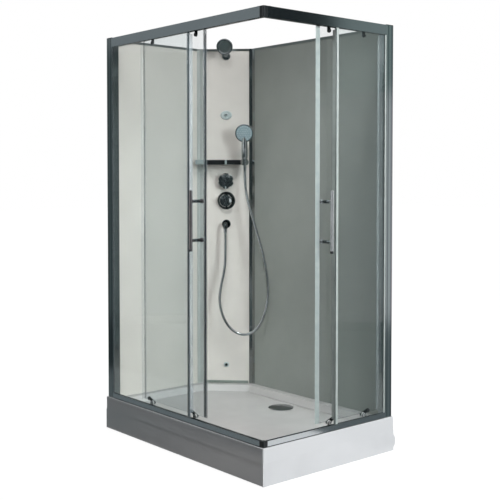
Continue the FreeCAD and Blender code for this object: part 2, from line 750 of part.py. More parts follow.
def handle(u):
    """Straight pull bar on two stand-offs, with its caps on the cabin side of the glass."""
    z_mid = handle_height
    bar_v = door_glass_v - handle_standoff
    bar = turned([(0, -handle_length / 2), (handle_d / 2 - 1.5, -handle_length / 2),
                  (handle_d / 2, -handle_length / 2 + 1.5), (handle_d / 2, handle_length / 2 - 1.5),
                  (handle_d / 2 - 1.5, handle_length / 2), (0, handle_length / 2)],
                 V(u, bar_v, z_mid), V(0, 0, 1))
    pieces, caps = [bar], []
    foot_r, neck_r = handle_foot_d / 2, handle_neck_d / 2
    for z in (z_mid - handle_pitch / 2, z_mid + handle_pitch / 2):
        pieces.append(turned(
            [(0, bar_v), (neck_r + 1.5, bar_v), (neck_r + 1.5, bar_v + handle_d / 2 + 5),
             (neck_r, bar_v + handle_d / 2 + 7), (neck_r, door_glass_v - handle_foot_t - 6),
             (neck_r + 1.5, door_glass_v - handle_foot_t - 5), (neck_r + 1.5, door_glass_v - handle_foot_t),
             (foot_r - 1, door_glass_v - handle_foot_t), (foot_r, door_glass_v - handle_foot_t + 1),
             (foot_r, door_glass_v), (0, door_glass_v)], V(u, 0, z), V(0, 1, 0)))
        caps.append(turned(
            [(0, door_glass_v), (fixing_d / 2, door_glass_v), (fixing_d / 2, door_in), (foot_r, door_in),
             (foot_r, door_in + 2.5), (foot_r - 2, door_in + handle_foot_t),
             (0, door_in + handle_foot_t)], V(u, 0, z), V(0, 1, 0)))
    return [fused(pieces)] + caps


def door(name, place, run, entry, open_by, trail_inset):
    width = entry - closed_tip + door_overlap
    tip = closed_tip + open_by
    end = tip + width
    lead, trail = tip + roller_lead_inset, end - trail_inset
    pane = box(tip + seal_nose, end - 3.0, door_glass_v, door_in, glass_low, glass_high)
    handle_u = tip + handle_inset
    holes = [(handle_u, handle_height - handle_pitch / 2), (handle_u, handle_height + handle_pitch / 2)]
    carriers = []
    for u, tag in ((lead, "lead"), (trail, "trail")):
        top_fix = (u, top_axle_z - top_hanger)
        low_fix = (u + bottom_arm_u, bottom_axle_z + bottom_arm_z)
        holes += [top_fix, low_fix]
        carriers.append(carrier((u, top_axle_z), top_fix))
        carriers.append(carrier((u, bottom_axle_z), low_fix))
        save(name + "_wheel_top_" + tag, place(wheel(u, top_axle_z)))
        save(name + "_wheel_bottom_" + tag, place(wheel(u, bottom_axle_z)))
    for u, z in holes:
        pane = pane.cut(cylinder(V(u, door_glass_v - 1, z), V(0, 1, 0), fixing_d + 0.6, glass_t + 2))
    save(name + "_glass", place(pane))
    save(name + "_carriers", *[place(c) for c in carriers])
    save(name + "_lead_seal", place(lead_seal(tip)))
    save(name + "_trail_seal", place(trail_seal(end)))
    save(name + "_handle", *[place(s) for s in handle(handle_u)])
    return {"tip": tip, "end": end, "lead": lead, "trail": trail, "handle": handle_u}


for name, place, run, entry, open_by, trail_inset in (
        ("front", to_front, run_front, entry_front, front_open, roller_trail_inset_front),
        ("side", to_side, run_side, entry_side, side_open, roller_trail_inset_side)):
    save("fixed_glass_" + name, place(fixed_glass(run, entry)))
    save("fixed_seal_" + name, place(fixed_seal(entry)), place(glazing_gasket(run)))
    at = door(name + "_door", place, run, entry, open_by, trail_inset)
    print(name, "door:", {key: round(value, 2) for key, value in at.items()},
          "axles", round(top_axle_z, 2), round(bottom_axle_z, 2),
          "travel to the post", round(run - post_width - at["end"], 2))


# ================================================================ wall panels, profiles and trims
panel_low = ledge_height
panel_high = overall_height - trim_t
web_gap = profile_web + 1.0
end_panel = box(-panel_face_x - panel_t, -panel_face_x,
                -frame_y + frame_depth - panel_slot_depth + 1.0,
                panel_face_y - column_leg - web_gap, panel_low, panel_high)
back_panel = box(-panel_face_x + column_leg + web_gap,
                 frame_x - frame_depth + panel_slot_depth - 1.0,
                 panel_face_y, panel_face_y + panel_t, panel_low, panel_high)
low_end_notch = box(-frame_x - 1, -panel_face_x + 1, -frame_y, -frame_y + frame_depth + 0.6,
                    panel_low - 1, rim_height + 0.3)
low_back_notch = box(frame_x - frame_depth - 0.6, frame_x, panel_face_y - 1, frame_y + 1,
                     panel_low - 1, rim_height + 0.3)
save("wall_panel_end", end_panel.cut(low_end_notch))
save("wall_panel_back", back_panel.cut(low_back_notch))

column_edge = column_half - web_gap
column_panel = box(-column_edge, column_edge, 0, panel_t, panel_low, panel_high)
for z, d in ((overhead_z, overhead_tube_d + 1), (jet_upper_z, jet_shank_d + 1),
             (jet_lower_z, jet_small_shank_d + 1), (outlet_z, outlet_d), (mixer_z, valve_hole_d),
             (diverter_z, valve_hole_d)):
    column_panel = column_panel.cut(cylinder(V(0, -1, z), V(0, 1, 0), d, panel_t + 2))
save("column_panel", to_column(column_panel))


def corner_profile(bend, along_wall, along_column, wall_in, column_in):
    """Upright that joins a wall panel to the column panel at 135 degrees: a cover on each
    face of the panels and a web between their edges."""
    w, c = V(*along_wall), V(*along_column)
    nw, nc = V(*wall_in), V(*column_in)
    v = V(bend[0], bend[1], 0)

    def at_bend(d):
        return v + (nw + nc) * (d / (1 + nw.dot(nc)))

    def strip(d0, d1, arm):
        pts = [v + w * arm + nw * d0, at_bend(d0), v + c * arm + nc * d0,
               v + c * arm + nc * d1, at_bend(d1), v + w * arm + nw * d1]
        return prism([(p.x, p.y) for p in pts], panel_low, overall_height)

    back = -(panel_t + panel_clearance)
    return fused([strip(0, profile_t, profile_arm), strip(back - profile_t, back, profile_arm),
                  strip(back, 0, profile_web)])


r2 = math.sqrt(0.5)
left_profile = corner_profile((-panel_face_x, panel_face_y - column_leg), (0, -1, 0), (r2, r2, 0),
                              (1, 0, 0), (r2, -r2, 0))
right_profile = corner_profile((-panel_face_x + column_leg, panel_face_y), (1, 0, 0), (-r2, -r2, 0),
                               (0, -1, 0), (r2, -r2, 0))
save("column_profiles", left_profile, right_profile)


def trim(length):
    """Channel that caps the upper edge of a panel; runs along x, cabin side at -y."""
    low = overall_height - trim_height
    t = trim_t
    outline = [(-t, low), (-t, overall_height), (panel_t + t, overall_height), (panel_t + t, low),
               (panel_t, low), (panel_t, panel_high), (0, panel_high), (0, low)]
    return section_run(outline, 0, length)


trim_gap = profile_arm + 0.5
end_trim_length = (panel_face_y - column_leg - trim_gap) - (-frame_y + frame_depth + 0.3)
end_trim = trim(end_trim_length)
end_trim.rotate(V(0, 0, 0), V(0, 0, 1), 90)
end_trim.translate(V(-panel_face_x, -frame_y + frame_depth + 0.3, 0))
back_trim_length = (frame_x - frame_depth - 0.3) - (-panel_face_x + column_leg + trim_gap)
back_trim = trim(back_trim_length).translate(V(-panel_face_x + column_leg + trim_gap, panel_face_y, 0))
column_trim_half = column_half - trim_gap
column_trim = to_column(trim(2 * column_trim_half).translate(V(-column_trim_half, 0, 0)))
save("wall_trims", end_trim, back_trim, column_trim)


# ================================================================ aprons
apron_top = rim_height - lip_depth
apron_low = apron_floor_gap


def apron_section(x, outer_y):
    """C-shaped section of the front apron at one place along it."""
    t = apron_thickness
    pts = [(0, apron_low), (0, apron_top), (apron_return, apron_top), (apron_return, apron_top - t),
           (t, apron_top - t), (t, apron_low + t), (apron_return * 0.6, apron_low + t),
           (apron_return * 0.6, apron_low)]
    return Part.makePolygon([V(x, outer_y + a, z) for a, z in pts + [pts[0]]])


front_apron = Part.makeLoft([apron_section(-half_l, -half_w),
                             apron_section(half_l - apron_thickness - 0.3, -half_w + apron_set_back)],
                            True, True)
save("apron_front", front_apron)

t = apron_thickness
side_apron = box(half_l - t, half_l, -half_w, half_w, apron_low, apron_top)
side_apron = side_apron.fuse(box(half_l - apron_return, half_l - t, -half_w + 2 * apron_return,
                                 half_w, apron_top - t, apron_top))
ear_mid = (apron_ear_low + apron_ear_high) / 2 + apron_floor_gap
ear_half = (apron_ear_high - apron_ear_low) / 2
ear_points = [V(half_l - t, half_w, ear_mid - ear_half), V(half_l - t, half_w + apron_ear, ear_mid),
              V(half_l - t, half_w, ear_mid + ear_half)]
ear = Part.Face(Part.Wire([Part.Arc(*ear_points).toShape(),
                           Part.LineSegment(ear_points[2], ear_points[0]).toShape()]))
side_apron = side_apron.fuse(ear.extrude(V(t, 0, 0))).removeSplitter()
save("apron_side", side_apron)

# ================================================================ supports under the tray
bar_top = underside_height
bar_low = bar_top - bar_size
bar_half = half_l - bar_end_gap
outer_bar_y = half_w - bar_edge_gap
foot_x = half_l - foot_end_gap


def bar(half_length, y):
    s, w = bar_size / 2, bar_wall
    outer = box(-half_length, half_length, y - s, y + s, bar_low, bar_top)
    return outer.cut(box(-half_length - 1, half_length + 1, y - s + w, y + s - w,
                         bar_low + w, bar_top - w))


feet = [(-foot_x, -outer_bar_y), (foot_x, -outer_bar_y), (0.0, 0.0),
        (-foot_x, outer_bar_y), (foot_x, outer_bar_y)]
bars = [bar(bar_half, -outer_bar_y), bar(bar_middle_length / 2, 0.0), bar(bar_half, outer_bar_y)]
pads, foot_screws = [], []
for x, y in feet:
    hole = cylinder(V(x, y, bar_low - 1), V(0, 0, 1), foot_screw_d + 0.6, bar_size - bar_wall)
    bars = [b.cut(hole) for b in bars]
    pads.append(turned([(0, 0), (pad_d / 2, 0), (pad_d / 2, 4), (foot_nut_d / 2 + 2, pad_height),
                        (0, pad_height)], V(x, y, 0), V(0, 0, 1)))
    rod = cylinder(V(x, y, pad_height), V(0, 0, 1), foot_screw_d, bar_top - bar_wall - 3 - pad_height)
    nut = prism([(x + foot_nut_d / 2 * math.cos(a), y + foot_nut_d / 2 * math.sin(a))
                 for a in [math.radians(60 * i) for i in range(6)]], bar_low - foot_nut_height, bar_low)
    foot_screws.append(rod.fuse(nut))
save("support_bars", *bars)
save("foot_pads", *pads)
save("foot_screws", *foot_screws)

# ================================================================ waste and its cover
flange_low = waste_low - waste_flange_t
trap_r, throat_r = trap_d / 2, throat_d / 2
trap = turned([(throat_r, waste_low), (waste_flange_d / 2, waste_low), (waste_flange_d / 2, flange_low),
               (trap_r, flange_low), (trap_r, trap_low + trap_edge), (trap_r - trap_edge, trap_low),
               (0, trap_low), (0, trap_low + trap_wall), (throat_r, trap_low + trap_wall)],
              waste_at, V(0, 0, 1))
outlet_at = waste_at + V(-throat_r - trap_wall, 0, outlet_pipe_z)
boss_length = trap_r + outlet_boss_reach - throat_r - trap_wall
outlet_boss = cylinder(outlet_at, V(-1, 0, 0), outlet_boss_d, boss_length)
outlet_pipe = cylinder(outlet_at, V(-1, 0, 0), outlet_pipe_d, boss_length + outlet_pipe_length)
pipe_bore = cylinder(waste_at + V(-throat_r + trap_wall, 0, outlet_pipe_z), V(-1, 0, 0),
                     outlet_pipe_d - 2 * outlet_pipe_wall, trap_r + outlet_boss_reach + outlet_pipe_length)
trap = fused([trap, outlet_boss, outlet_pipe]).cut(pipe_bore)
save("waste_trap", trap)
print("waste outlet from x %.1f to %.1f" % (-trap_r - outlet_boss_reach,
                                            -trap_r - outlet_boss_reach - outlet_pipe_length))

cover_stem_r = throat_r - cover_stem_play
cover_under = waste_low + cover_edge_rise
cover_top = waste_low + cover_rise
cover = turned([(0, cover_under + 1.2), (cover_stem_r - 3, cover_under + 1.2),
                (cover_stem_r - 3, waste_low - cover_stem_length), (cover_stem_r, waste_low - cover_stem_length),
                (cover_stem_r, cover_under), (cover_d / 2, cover_under),
                (cover_d / 2, cover_under + cover_edge_t), (cover_d / 2 - 5, cover_under + cover_edge_t + 2),
                (cover_d / 4, cover_top - 1.2), (cover_d / 10, cover_top), (0, cover_top)],
               waste_at, V(0, 0, 1))
leg_out, leg_r = waste_flange_d / 2 - cover_leg_inset, cover_leg_d / 2
legs = [turned([(0, waste_low + 0.3), (leg_r, waste_low + 0.3), (leg_r, cover_under + 0.5),
                (0, cover_under + 0.5)],
               waste_at + V(leg_out * math.cos(a), leg_out * math.sin(a), 0), V(0, 0, 1))
        for a in (0.5, 2.6, 4.7)]
save("drain_cover", cover.multiFuse(legs))

# ================================================================ overhead shower
# Fittings are drawn in the column's frame and put in place by to_column.
out = V(0, -1, 0)
ball_at = V(0, -ball_out, overhead_z + ball_up)
flange = turned([(0, 0), (overhead_flange_d / 2, 0), (overhead_flange_d / 2, overhead_flange_t - 2),
                 (overhead_flange_d / 2 - 2, overhead_flange_t), (0, overhead_flange_t)],
                V(0, 0, overhead_z), out)
shank = cylinder(V(0, panel_t + 16, overhead_z), out, overhead_tube_d, panel_t + 16 + overhead_flange_t)
back_nut = turned([(overhead_tube_d / 2, 0), (overhead_tube_d / 2 + 8, 0), (overhead_tube_d / 2 + 8, 8),
                   (overhead_tube_d / 2, 8)], V(0, panel_t, overhead_z), V(0, 1, 0))
droop = math.radians(arm_droop)
neck_axis = V(0, -math.cos(droop), -math.sin(droop))
neck_at = ball_at - neck_axis * (collar_r + 3.0)
knee_z = ball_at.z + (ball_out - riser_out) * math.tan(droop)
tube, _, _ = tube_along([(0, -overhead_flange_t + 2, overhead_z), (0, -riser_out, overhead_z),
                         (0, -riser_out, knee_z), tuple(neck_at)],
                        overhead_tube_d, overhead_tube_d * 0.55)
neck = cylinder(neck_at, neck_axis, arm_neck_d, collar_r + 3.0)
ball = Part.makeSphere(ball_r, ball_at)
save("overhead_arm", to_column(fused([flange, shank, back_nut, tube, neck, ball])))

look = math.radians(head_droop)
head_axis = V(0, -math.cos(look), -math.sin(look))


def about(profile, origin, axis):
    return turned(profile, origin, axis, V(1, 0, 0))


def shell_zone(r_in, r_out, low, high, origin, axis):
    """Spherical ring between two planes square to the axis."""
    zone = Part.makeSphere(r_out, origin).cut(Part.makeSphere(r_in, origin))
    slab = Part.makeCylinder(r_out + 5, high - low, origin + axis * low, axis)
    return zone.common(slab)


collar = shell_zone(ball_r + joint_clearance, collar_r, -5.0, 9.0, ball_at, head_axis)
save("overhead_collar", to_column(collar))
cup_in = collar_r + joint_clearance
head_r = head_d / 2
rim_back = head_face_out - head_rim_t
bell = about([(0, 3), (cup_in + 4.5, 3), (cup_in + 5, 12), (head_r * 0.72, rim_back - 4), (head_r - 1.5, rim_back),
              (head_r, rim_back + 2), (head_r, head_face_out - 2), (head_r - 2, head_face_out),
              (head_r - 8, head_face_out), (head_r - 10, head_face_out - 2),
              (12, head_face_out - 1), (0, head_face_out - 0.5)], ball_at, head_axis)
bell = bell.cut(Part.makeSphere(cup_in, ball_at))
save("overhead_head", to_column(bell))

# ================================================================ body jets
def oval(width, height, y, z):
    middle = V(0, y, z)
    curve = Part.Ellipse(middle + V(width / 2, 0, 0), middle + V(0, 0, height / 2), middle)
    return Part.Wire(curve.toShape())


jet_at = V(0, 0, jet_upper_z)
plate = Part.makeLoft([oval(jet_width, jet_height, 0, jet_upper_z),
                       oval(jet_width, jet_height, -jet_t * 0.5, jet_upper_z),
                       oval(jet_width - 6, jet_height - 6, -jet_t, jet_upper_z)], True, True)
jet_shank = cylinder(jet_at, V(0, 1, 0), jet_shank_d, panel_t + jet_shank_length)
jet_socket = cylinder(jet_at + V(0, jet_pipe_y, 0), V(-1, 0, 0), socket_d, jet_shank_d / 2 + socket_length)
jet_nut = turned([(jet_shank_d / 2, 0), (jet_shank_d / 2 + 7, 0), (jet_shank_d / 2 + 7, 8),
                  (jet_shank_d / 2, 8)], V(0, panel_t, jet_upper_z), V(0, 1, 0))
seat = Part.makeSphere(jet_ball_r + joint_clearance, jet_at)
mouth = Part.makeCone(jet_ball_r * 0.72, jet_ball_r * 1.15, jet_t, jet_at + V(0, -1.0, 0), out)
jet_housing = fused([plate, jet_shank, jet_nut, jet_socket]).cut(seat).cut(mouth)
jet_small = fused([
    turned([(0, 0), (jet_small_d / 2, 0), (jet_small_d / 2, 3), (jet_small_d / 2 - 3, 6), (6, 6), (5, 3),
            (0, 3)], V(0, 0, jet_lower_z), out),
    cylinder(V(0, 0, jet_lower_z), V(0, 1, 0), jet_small_shank_d, panel_t + 14),
    turned([(jet_small_shank_d / 2, 0), (jet_small_shank_d / 2 + 6, 0), (jet_small_shank_d / 2 + 6, 7),
            (jet_small_shank_d / 2, 7)], V(0, panel_t, jet_lower_z), V(0, 1, 0))])
save("jet_housings", to_column(jet_housing), to_column(jet_small))
eye = Part.makeSphere(jet_ball_r, jet_at)
eye = eye.cut(box(-20, 20, -20, -jet_ball_r * 0.78, jet_upper_z - 20, jet_upper_z + 20))
slot = box(-7, 7, -jet_ball_r, -4, jet_upper_z - 2, jet_upper_z + 2)
save("jet_eye", to_column(eye.cut(slot)))

# ================================================================ shelf
plan = [(shelf_back_left, -0.0), (shelf_back_right, -0.0), (shelf_right, -shelf_front_s + 14),
        (shelf_right, -shelf_front_s), (shelf_left, -shelf_front_s), (shelf_left, -shelf_front_s + 14)]
shelf_low = shelf_top_z - shelf_lip
shelf = prism(plan, shelf_low, shelf_top_z, [0, 0, 3, 6, 6, 3])
hollow = prism([(shelf_back_left + 5, -3.0), (shelf_back_right - 3, -3.0),
                (shelf_right - 3.5, -shelf_front_s + 15), (shelf_right - 3.5, -shelf_front_s + 3.5),
                (shelf_left + 3.5, -shelf_front_s + 3.5), (shelf_left + 4.5, -shelf_front_s + 15)],
               shelf_low + shelf_t, shelf_top_z + 1, [0, 0, 2, 3, 3, 2])
save("shelf", to_column(shelf.cut(hollow)))

# ================================================================ hand shower and its holder
tilt = math.radians(handset_tilt)
handset_at = V(handset_x, -handset_s, handset_z)
handset_axis = V(0, -math.sin(tilt), math.cos(tilt))
cup_low, cup_high = -holder_cup_height / 2, holder_cup_height / 2


def handle_radius(h):
    """Taper of the handle, so that it wedges in the cup."""
    return handle_cone_r + handle_taper * (h - cup_high)


g = joint_clearance
cup = about([(handle_radius(cup_low) + g, cup_low), (holder_cup_r - 2, cup_low),
             (holder_cup_r, cup_low + 3), (holder_cup_r, cup_high), (handle_radius(cup_high) + g, cup_high)],
            handset_at, handset_axis)
gap = box(handset_x - holder_gap_w / 2, handset_x + holder_gap_w / 2, -handset_s - 40, -handset_s,
          handset_z - 30, handset_z + 30)
holder_arm = cylinder(V(handset_x, 0, handset_z), out, holder_arm_d, handset_s - holder_cup_r + 4)
holder_foot = turned([(0, 0), (holder_foot_d / 2, 0), (holder_foot_d / 2, 4), (holder_arm_d / 2 + 2, 9),
                      (0, 9)], V(handset_x, 0, handset_z), out)
save("handset_holder", to_column(fused([cup.cut(gap), holder_arm, holder_foot])))

look_down = math.radians(handset_look_down)
face_axis = V(0, -math.cos(look_down), -math.sin(look_down))
grip = about([(0, -24), (7.5, -24), (8.5, -17), (handle_radius(-16), -16),
              (handle_radius(cup_high), cup_high), (13.2, 60), (13.0, 88), (13.6, 112), (12.0, 122),
              (0, 124)], handset_at, handset_axis)
head_at = handset_at + handset_axis * handset_head_up
hr, ht = handset_head_d / 2, handset_head_t
head = about([(0, -ht * 0.75), (hr * 0.35, -ht * 0.72), (hr * 0.75, -ht * 0.4), (hr * 0.97, 0.5),
              (hr, 3), (hr, ht * 0.35), (hr - 1.5, ht * 0.45), (hr - 5, ht * 0.45), (hr - 6, ht * 0.38),
              (0, ht * 0.48)], head_at, face_axis)
neck_low = handset_at + handset_axis * 106
neck_high = handset_at + handset_axis * 146 + V(0, 5, 0)
neck_line = (neck_high - neck_low).normalize()
neck = turned([(0, 0), (13.2, 0), (11.0, (neck_high - neck_low).Length), (0, (neck_high - neck_low).Length)],
              neck_low, neck_line)
save("hand_shower", to_column(fused([grip, head, neck])))

# ================================================================ outlet, hose and nuts
elbow_flange = turned([(0, 0), (outlet_flange_d / 2, 0), (outlet_flange_d / 2, 3),
                       (outlet_flange_d / 2 - 3, outlet_flange_t), (0, outlet_flange_t)],
                      V(0, 0, outlet_z), out)
elbow_tail = cylinder(V(0, panel_t, outlet_z), V(0, 1, 0), outlet_d - 1, panel_t + valve_depth * 0.35 + 6)
elbow_socket = cylinder(V(0, panel_t + valve_depth * 0.35, outlet_z), V(1, 0, 0), socket_d,
                        outlet_d / 2 + socket_length)
elbow, _, _ = tube_along([(0, panel_t + 14, outlet_z), (0, -outlet_s, outlet_z),
                          (0, -outlet_s, outlet_z - outlet_drop)], outlet_d - 1, outlet_d * 0.6)
elbow_nut = turned([(outlet_d / 2 - 0.5, 0), (outlet_d / 2 + 7, 0), (outlet_d / 2 + 7, 7),
                    (outlet_d / 2 - 0.5, 7)], V(0, panel_t, outlet_z), V(0, 1, 0))
save("outlet_elbow", to_column(fused([elbow_flange, elbow, elbow_nut, elbow_tail, elbow_socket])))

route = [(0.0, -outlet_s, outlet_z - outlet_drop - nut_length)]
route += [(x, -s, z) for x, s, z in hose_route]
handset_end = handset_at - handset_axis * (24 + nut_length)
route.append(tuple(handset_end - handset_axis * hose_last_run))
route.append(tuple(handset_end))
hose, hose_length, hose_radii = tube_along(route, hose_d)
print("hose length %.1f, volume over section times length %.5f" % (
    hose_length, hose.Volume / (math.pi * hose_d ** 2 / 4 * hose_length)))
print("hose radii", [round(r) for r in hose_radii])
runs = [(V(*b) - V(*a)).Length for a, b in zip(route, route[1:])]
turns = [math.degrees((V(*b) - V(*a)).getAngle(V(*c) - V(*b)))
         for a, b, c in zip(route, route[1:], route[2:])]
print("hose runs", [round(r) for r in runs], "turns", [round(a) for a in turns])
save("hose", to_column(hose))
nut_low = about([(0, 0), (hose_d / 2 + 1, 0), (nut_d / 2, 3), (nut_d / 2, nut_length), (0, nut_length)],
                V(*route[0]), V(0, 0, 1))
nut_high = about([(0, 0), (hose_d / 2 + 0.6, 0), (nut_d / 2 - 1, nut_length - 4), (nut_d / 2 - 1, nut_length),
                  (0, nut_length)], handset_end, handset_axis)
save("hose_nuts", to_column(nut_low), to_column(nut_high))


# ================================================================ valves, rosettes and knobs
def valve_body(z, body_d):
    """Body behind the panel, its collar through the panel and the spindle in front."""
    flange_r = body_d / 2 + 4
    back = panel_t + valve_depth
    profile = [(0, -back), (body_d / 2 - 4, -back), (body_d / 2, -back + 4),
               (body_d / 2, -panel_t - valve_flange_t), (flange_r, -panel_t - valve_flange_t),
               (flange_r, -panel_t), (valve_collar_d / 2, -panel_t), (valve_collar_d / 2, 0), (0, 0)]
    return turned(profile, V(0, 0, z), out)


arm_y = panel_t + valve_depth * 0.55
arms = cylinder(V(-inlet_spread, arm_y, mixer_z), V(1, 0, 0), 24, 2 * inlet_spread)
inlets = []
inlet_top = mixer_z - 30
for x in (-inlet_spread, inlet_spread):
    inlets.append(Part.makeSphere(12, V(x, arm_y, mixer_z)))
    inlets.append(cylinder(V(x, arm_y, mixer_z), V(0, 0, -1), 24, mixer_z - inlet_top))
    inlets.append(cylinder(V(x, arm_y, inlet_top), V(0, 0, -1), inlet_d, inlet_length))
link = cylinder(V(0, arm_y, mixer_z), V(0, 0, 1), 22, diverter_z - mixer_z)
mixer_spindle = mixer_rosette_t + mixer_knob_depth * 0.6
diverter_spindle = diverter_rosette_t + diverter_knob_depth * 0.6
spindles = [cylinder(V(0, 0, z), out, spindle_d, length)
            for z, length in ((mixer_z, mixer_spindle), (diverter_z, diverter_spindle))]
hand_pipe_y = panel_t + valve_depth * 0.35
sockets = [cylinder(V(side * diverter_body_d / 4, y, diverter_z), V(side, 0, 0), socket_d,
                    diverter_body_d / 4 + socket_length)
           for side, y in ((1, hand_pipe_y), (-1, jet_pipe_y))]
valve_block = fused([valve_body(mixer_z, mixer_body_d), valve_body(diverter_z, diverter_body_d),
                     arms, link] + inlets + spindles + sockets)
save("valve_block", to_column(valve_block))


def rosette(z, d, t):
    r = d / 2
    hole = spindle_d / 2 + 0.5
    return turned([(hole, 0), (r, 0), (r, 2), (r - 2, t * 0.55), (r - 7, t), (r - 12, t - 1.5),
                   (hole, t - 1.5)], V(0, 0, z), out)


save("valve_rosettes", to_column(rosette(mixer_z, mixer_rosette_d, mixer_rosette_t)),
     to_column(rosette(diverter_z, diverter_rosette_d, diverter_rosette_t)))


def knob(z, base, depth, reach, radius, lobes, lobe_r, lobe_out):
    """Turned knob with hollows round its rim, on the valve spindle."""
    solid = turned([(0, base), (radius * 0.62, base), (radius * 0.9, base + depth * 0.25),
                    (radius, base + depth * 0.4), (radius, base + depth * 0.8),
                    (radius - 4, base + depth), (radius * 0.55, base + depth * 0.93),
                    (0, base + depth * 0.9)], V(0, 0, z), out)
    for i in range(lobes):
        a = 2 * math.pi * (i + 0.5) / lobes + math.pi / 2
        at = V(lobe_out * math.cos(a), 0, z + lobe_out * math.sin(a))
        solid = solid.cut(cylinder(at, out, 2 * lobe_r, base + depth + 5))
    bore = cylinder(V(0, 0, z), out, spindle_d + 2 * spindle_clearance, reach + knob_gap)
    return solid.cut(bore)


save("mixer_knob", to_column(knob(mixer_z, mixer_rosette_t - 1.5 + knob_gap, mixer_knob_depth,
                                  mixer_spindle, mixer_knob_d / 2, 12, 5.0, mixer_knob_d / 2 + 3.4)))
save("diverter_knob", to_column(knob(diverter_z, diverter_rosette_t + knob_gap, diverter_knob_depth,
                                     diverter_spindle, diverter_knob_d / 2, 6, 11.0,
                                     diverter_knob_d / 2 + 5.5)))

# ================================================================ pipes behind the column
py = pipe_depth
riser, _, _ = tube_along([(0, py, diverter_z + diverter_body_d / 2), (0, py, overhead_z),
                          (0, panel_t + 16, overhead_z)], pipe_d, pipe_d * 0.9)
socket_x = diverter_body_d / 2 + socket_length
hand_pipe, _, _ = tube_along([(socket_x, hand_pipe_y, diverter_z), (side_pipe_x, hand_pipe_y, diverter_z),
                              (side_pipe_x, hand_pipe_y, outlet_z),
                              (outlet_d / 2 + socket_length, hand_pipe_y, outlet_z)],
                             pipe_d, pipe_d * 1.2)
jet_pipe_up, _, _ = tube_along([(-socket_x, jet_pipe_y, diverter_z), (-side_pipe_x, jet_pipe_y, diverter_z),
                                (-side_pipe_x, jet_pipe_y, jet_upper_z),
                                (-jet_shank_d / 2 - socket_length, jet_pipe_y, jet_upper_z)],
                               pipe_d, pipe_d * 1.2)
save("pipework", to_column(riser), to_column(hand_pipe), to_column(jet_pipe_up))

nodes = sorted(f[:-5] for f in os.listdir("parts") if f.endswith(".step"))
print(len(nodes), "nodes")
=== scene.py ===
"""Finish of a corner-entry shower enclosure: acrylic tray, polished aluminium frame, clear panes,
chrome fittings, and the studio that it stands in. Metres, +Z up, in the frame of the CAD part."""
import math

import bmesh
import bpy
from mathutils import Matrix, Vector


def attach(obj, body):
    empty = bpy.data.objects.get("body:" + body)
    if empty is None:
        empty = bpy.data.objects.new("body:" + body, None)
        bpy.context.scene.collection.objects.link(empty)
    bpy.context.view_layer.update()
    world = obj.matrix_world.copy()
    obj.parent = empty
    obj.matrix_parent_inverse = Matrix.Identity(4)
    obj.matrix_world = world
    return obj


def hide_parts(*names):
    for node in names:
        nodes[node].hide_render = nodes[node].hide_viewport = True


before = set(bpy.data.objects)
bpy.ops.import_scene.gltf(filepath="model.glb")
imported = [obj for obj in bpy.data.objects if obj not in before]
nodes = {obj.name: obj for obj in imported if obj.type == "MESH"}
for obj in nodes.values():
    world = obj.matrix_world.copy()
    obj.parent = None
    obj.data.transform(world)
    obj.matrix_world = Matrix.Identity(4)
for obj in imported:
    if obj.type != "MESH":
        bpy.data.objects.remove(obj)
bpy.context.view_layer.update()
scene = bpy.context.scene

# ---------------------------------------------------------------- places, in metres
TRAY_HALF_X, TRAY_HALF_Y = 0.600, 0.400
FRAME_X, FRAME_Y = 0.592, 0.392         # outer faces of the frame
RIM_Z = 0.160                           # top of the tray's rim
PANE_LOW, PANE_HIGH = 0.1865, 1.9025    # what shows of the panes between the rails
POST_WIDTH = 0.044
COLUMN = Vector((-0.485, 0.285, 0.0))   # middle of the column's face
COLUMN_TURN = math.radians(45)
QUARTER_TURN = math.pi / 2

# Along each glazed run, from the entry corner: the fixed pane's edge and the width of the painted
# # shade line along it, the end of the rail, the handle, and the rollers of the door.
RUNS = {
    "front": {"edge": 0.5030, "edge_line": 0.0075, "rail_end": 1.136, "handle": 0.4478,
              "rollers": {"lead": 0.4908, "trail": 0.8240}},
    "side": {"edge": 0.4162, "edge_line": 0.0030, "rail_end": 0.736, "handle": 0.3598,
             "rollers": {"lead": 0.4028, "trail": 0.6180}},
}
ROLLER_Z = {"top": 1.9213, "bottom": 0.1913}
CAP_Z = {"top": 1.8933, "bottom": 0.2043}
CAP_SHIFT = {"top": 0.0, "bottom": 0.037}   # the lower carriers are bolted beside their roller
ROLLER_IN, CAP_IN, SLEEVE_IN, HANDLE_END_IN = 0.0190, 0.028, 0.0195, -0.032
SLEEVE_Z = {"top": 1.157, "bottom": 0.985}
HANDLE_END_Z = 0.9475
UPPER_JET_Z, LOWER_JET_Z, DIVERTER_Z = 1.596, 0.249, 1.243
HAND_SHOWER_ALONG = 0.105                   # the hand shower hangs this far right of the middle


def on_column(along, out, up):
    """A place given along the column's face, out of it, and above the floor."""
    return COLUMN + Matrix.Rotation(COLUMN_TURN, 3, "Z") @ Vector((along, -out, up))


def facing_column(along=0.0, out=0.0, up=0.0, tilt=0.0):
    """Stands a piece that is modelled facing -Y on the column; tilt looks down."""
    return (Matrix.Translation(on_column(along, out, up)) @ Matrix.Rotation(COLUMN_TURN, 4, "Z")
            @ Matrix.Rotation(tilt, 4, "X"))


def on_run(run, u, v, z):
    """A place on a run: u from the entry corner, v inwards from the frame's outer face."""
    return Vector((FRAME_X - u, -FRAME_Y + v, z) if run == "front" else (FRAME_X - v, -FRAME_Y + u, z))


def facing_run(run, u, v, z):
    """Stands a piece that is modelled facing -Y on a run."""
    turn = 0.0 if run == "front" else QUARTER_TURN
    return Matrix.Translation(on_run(run, u, v, z)) @ Matrix.Rotation(turn, 4, "Z")


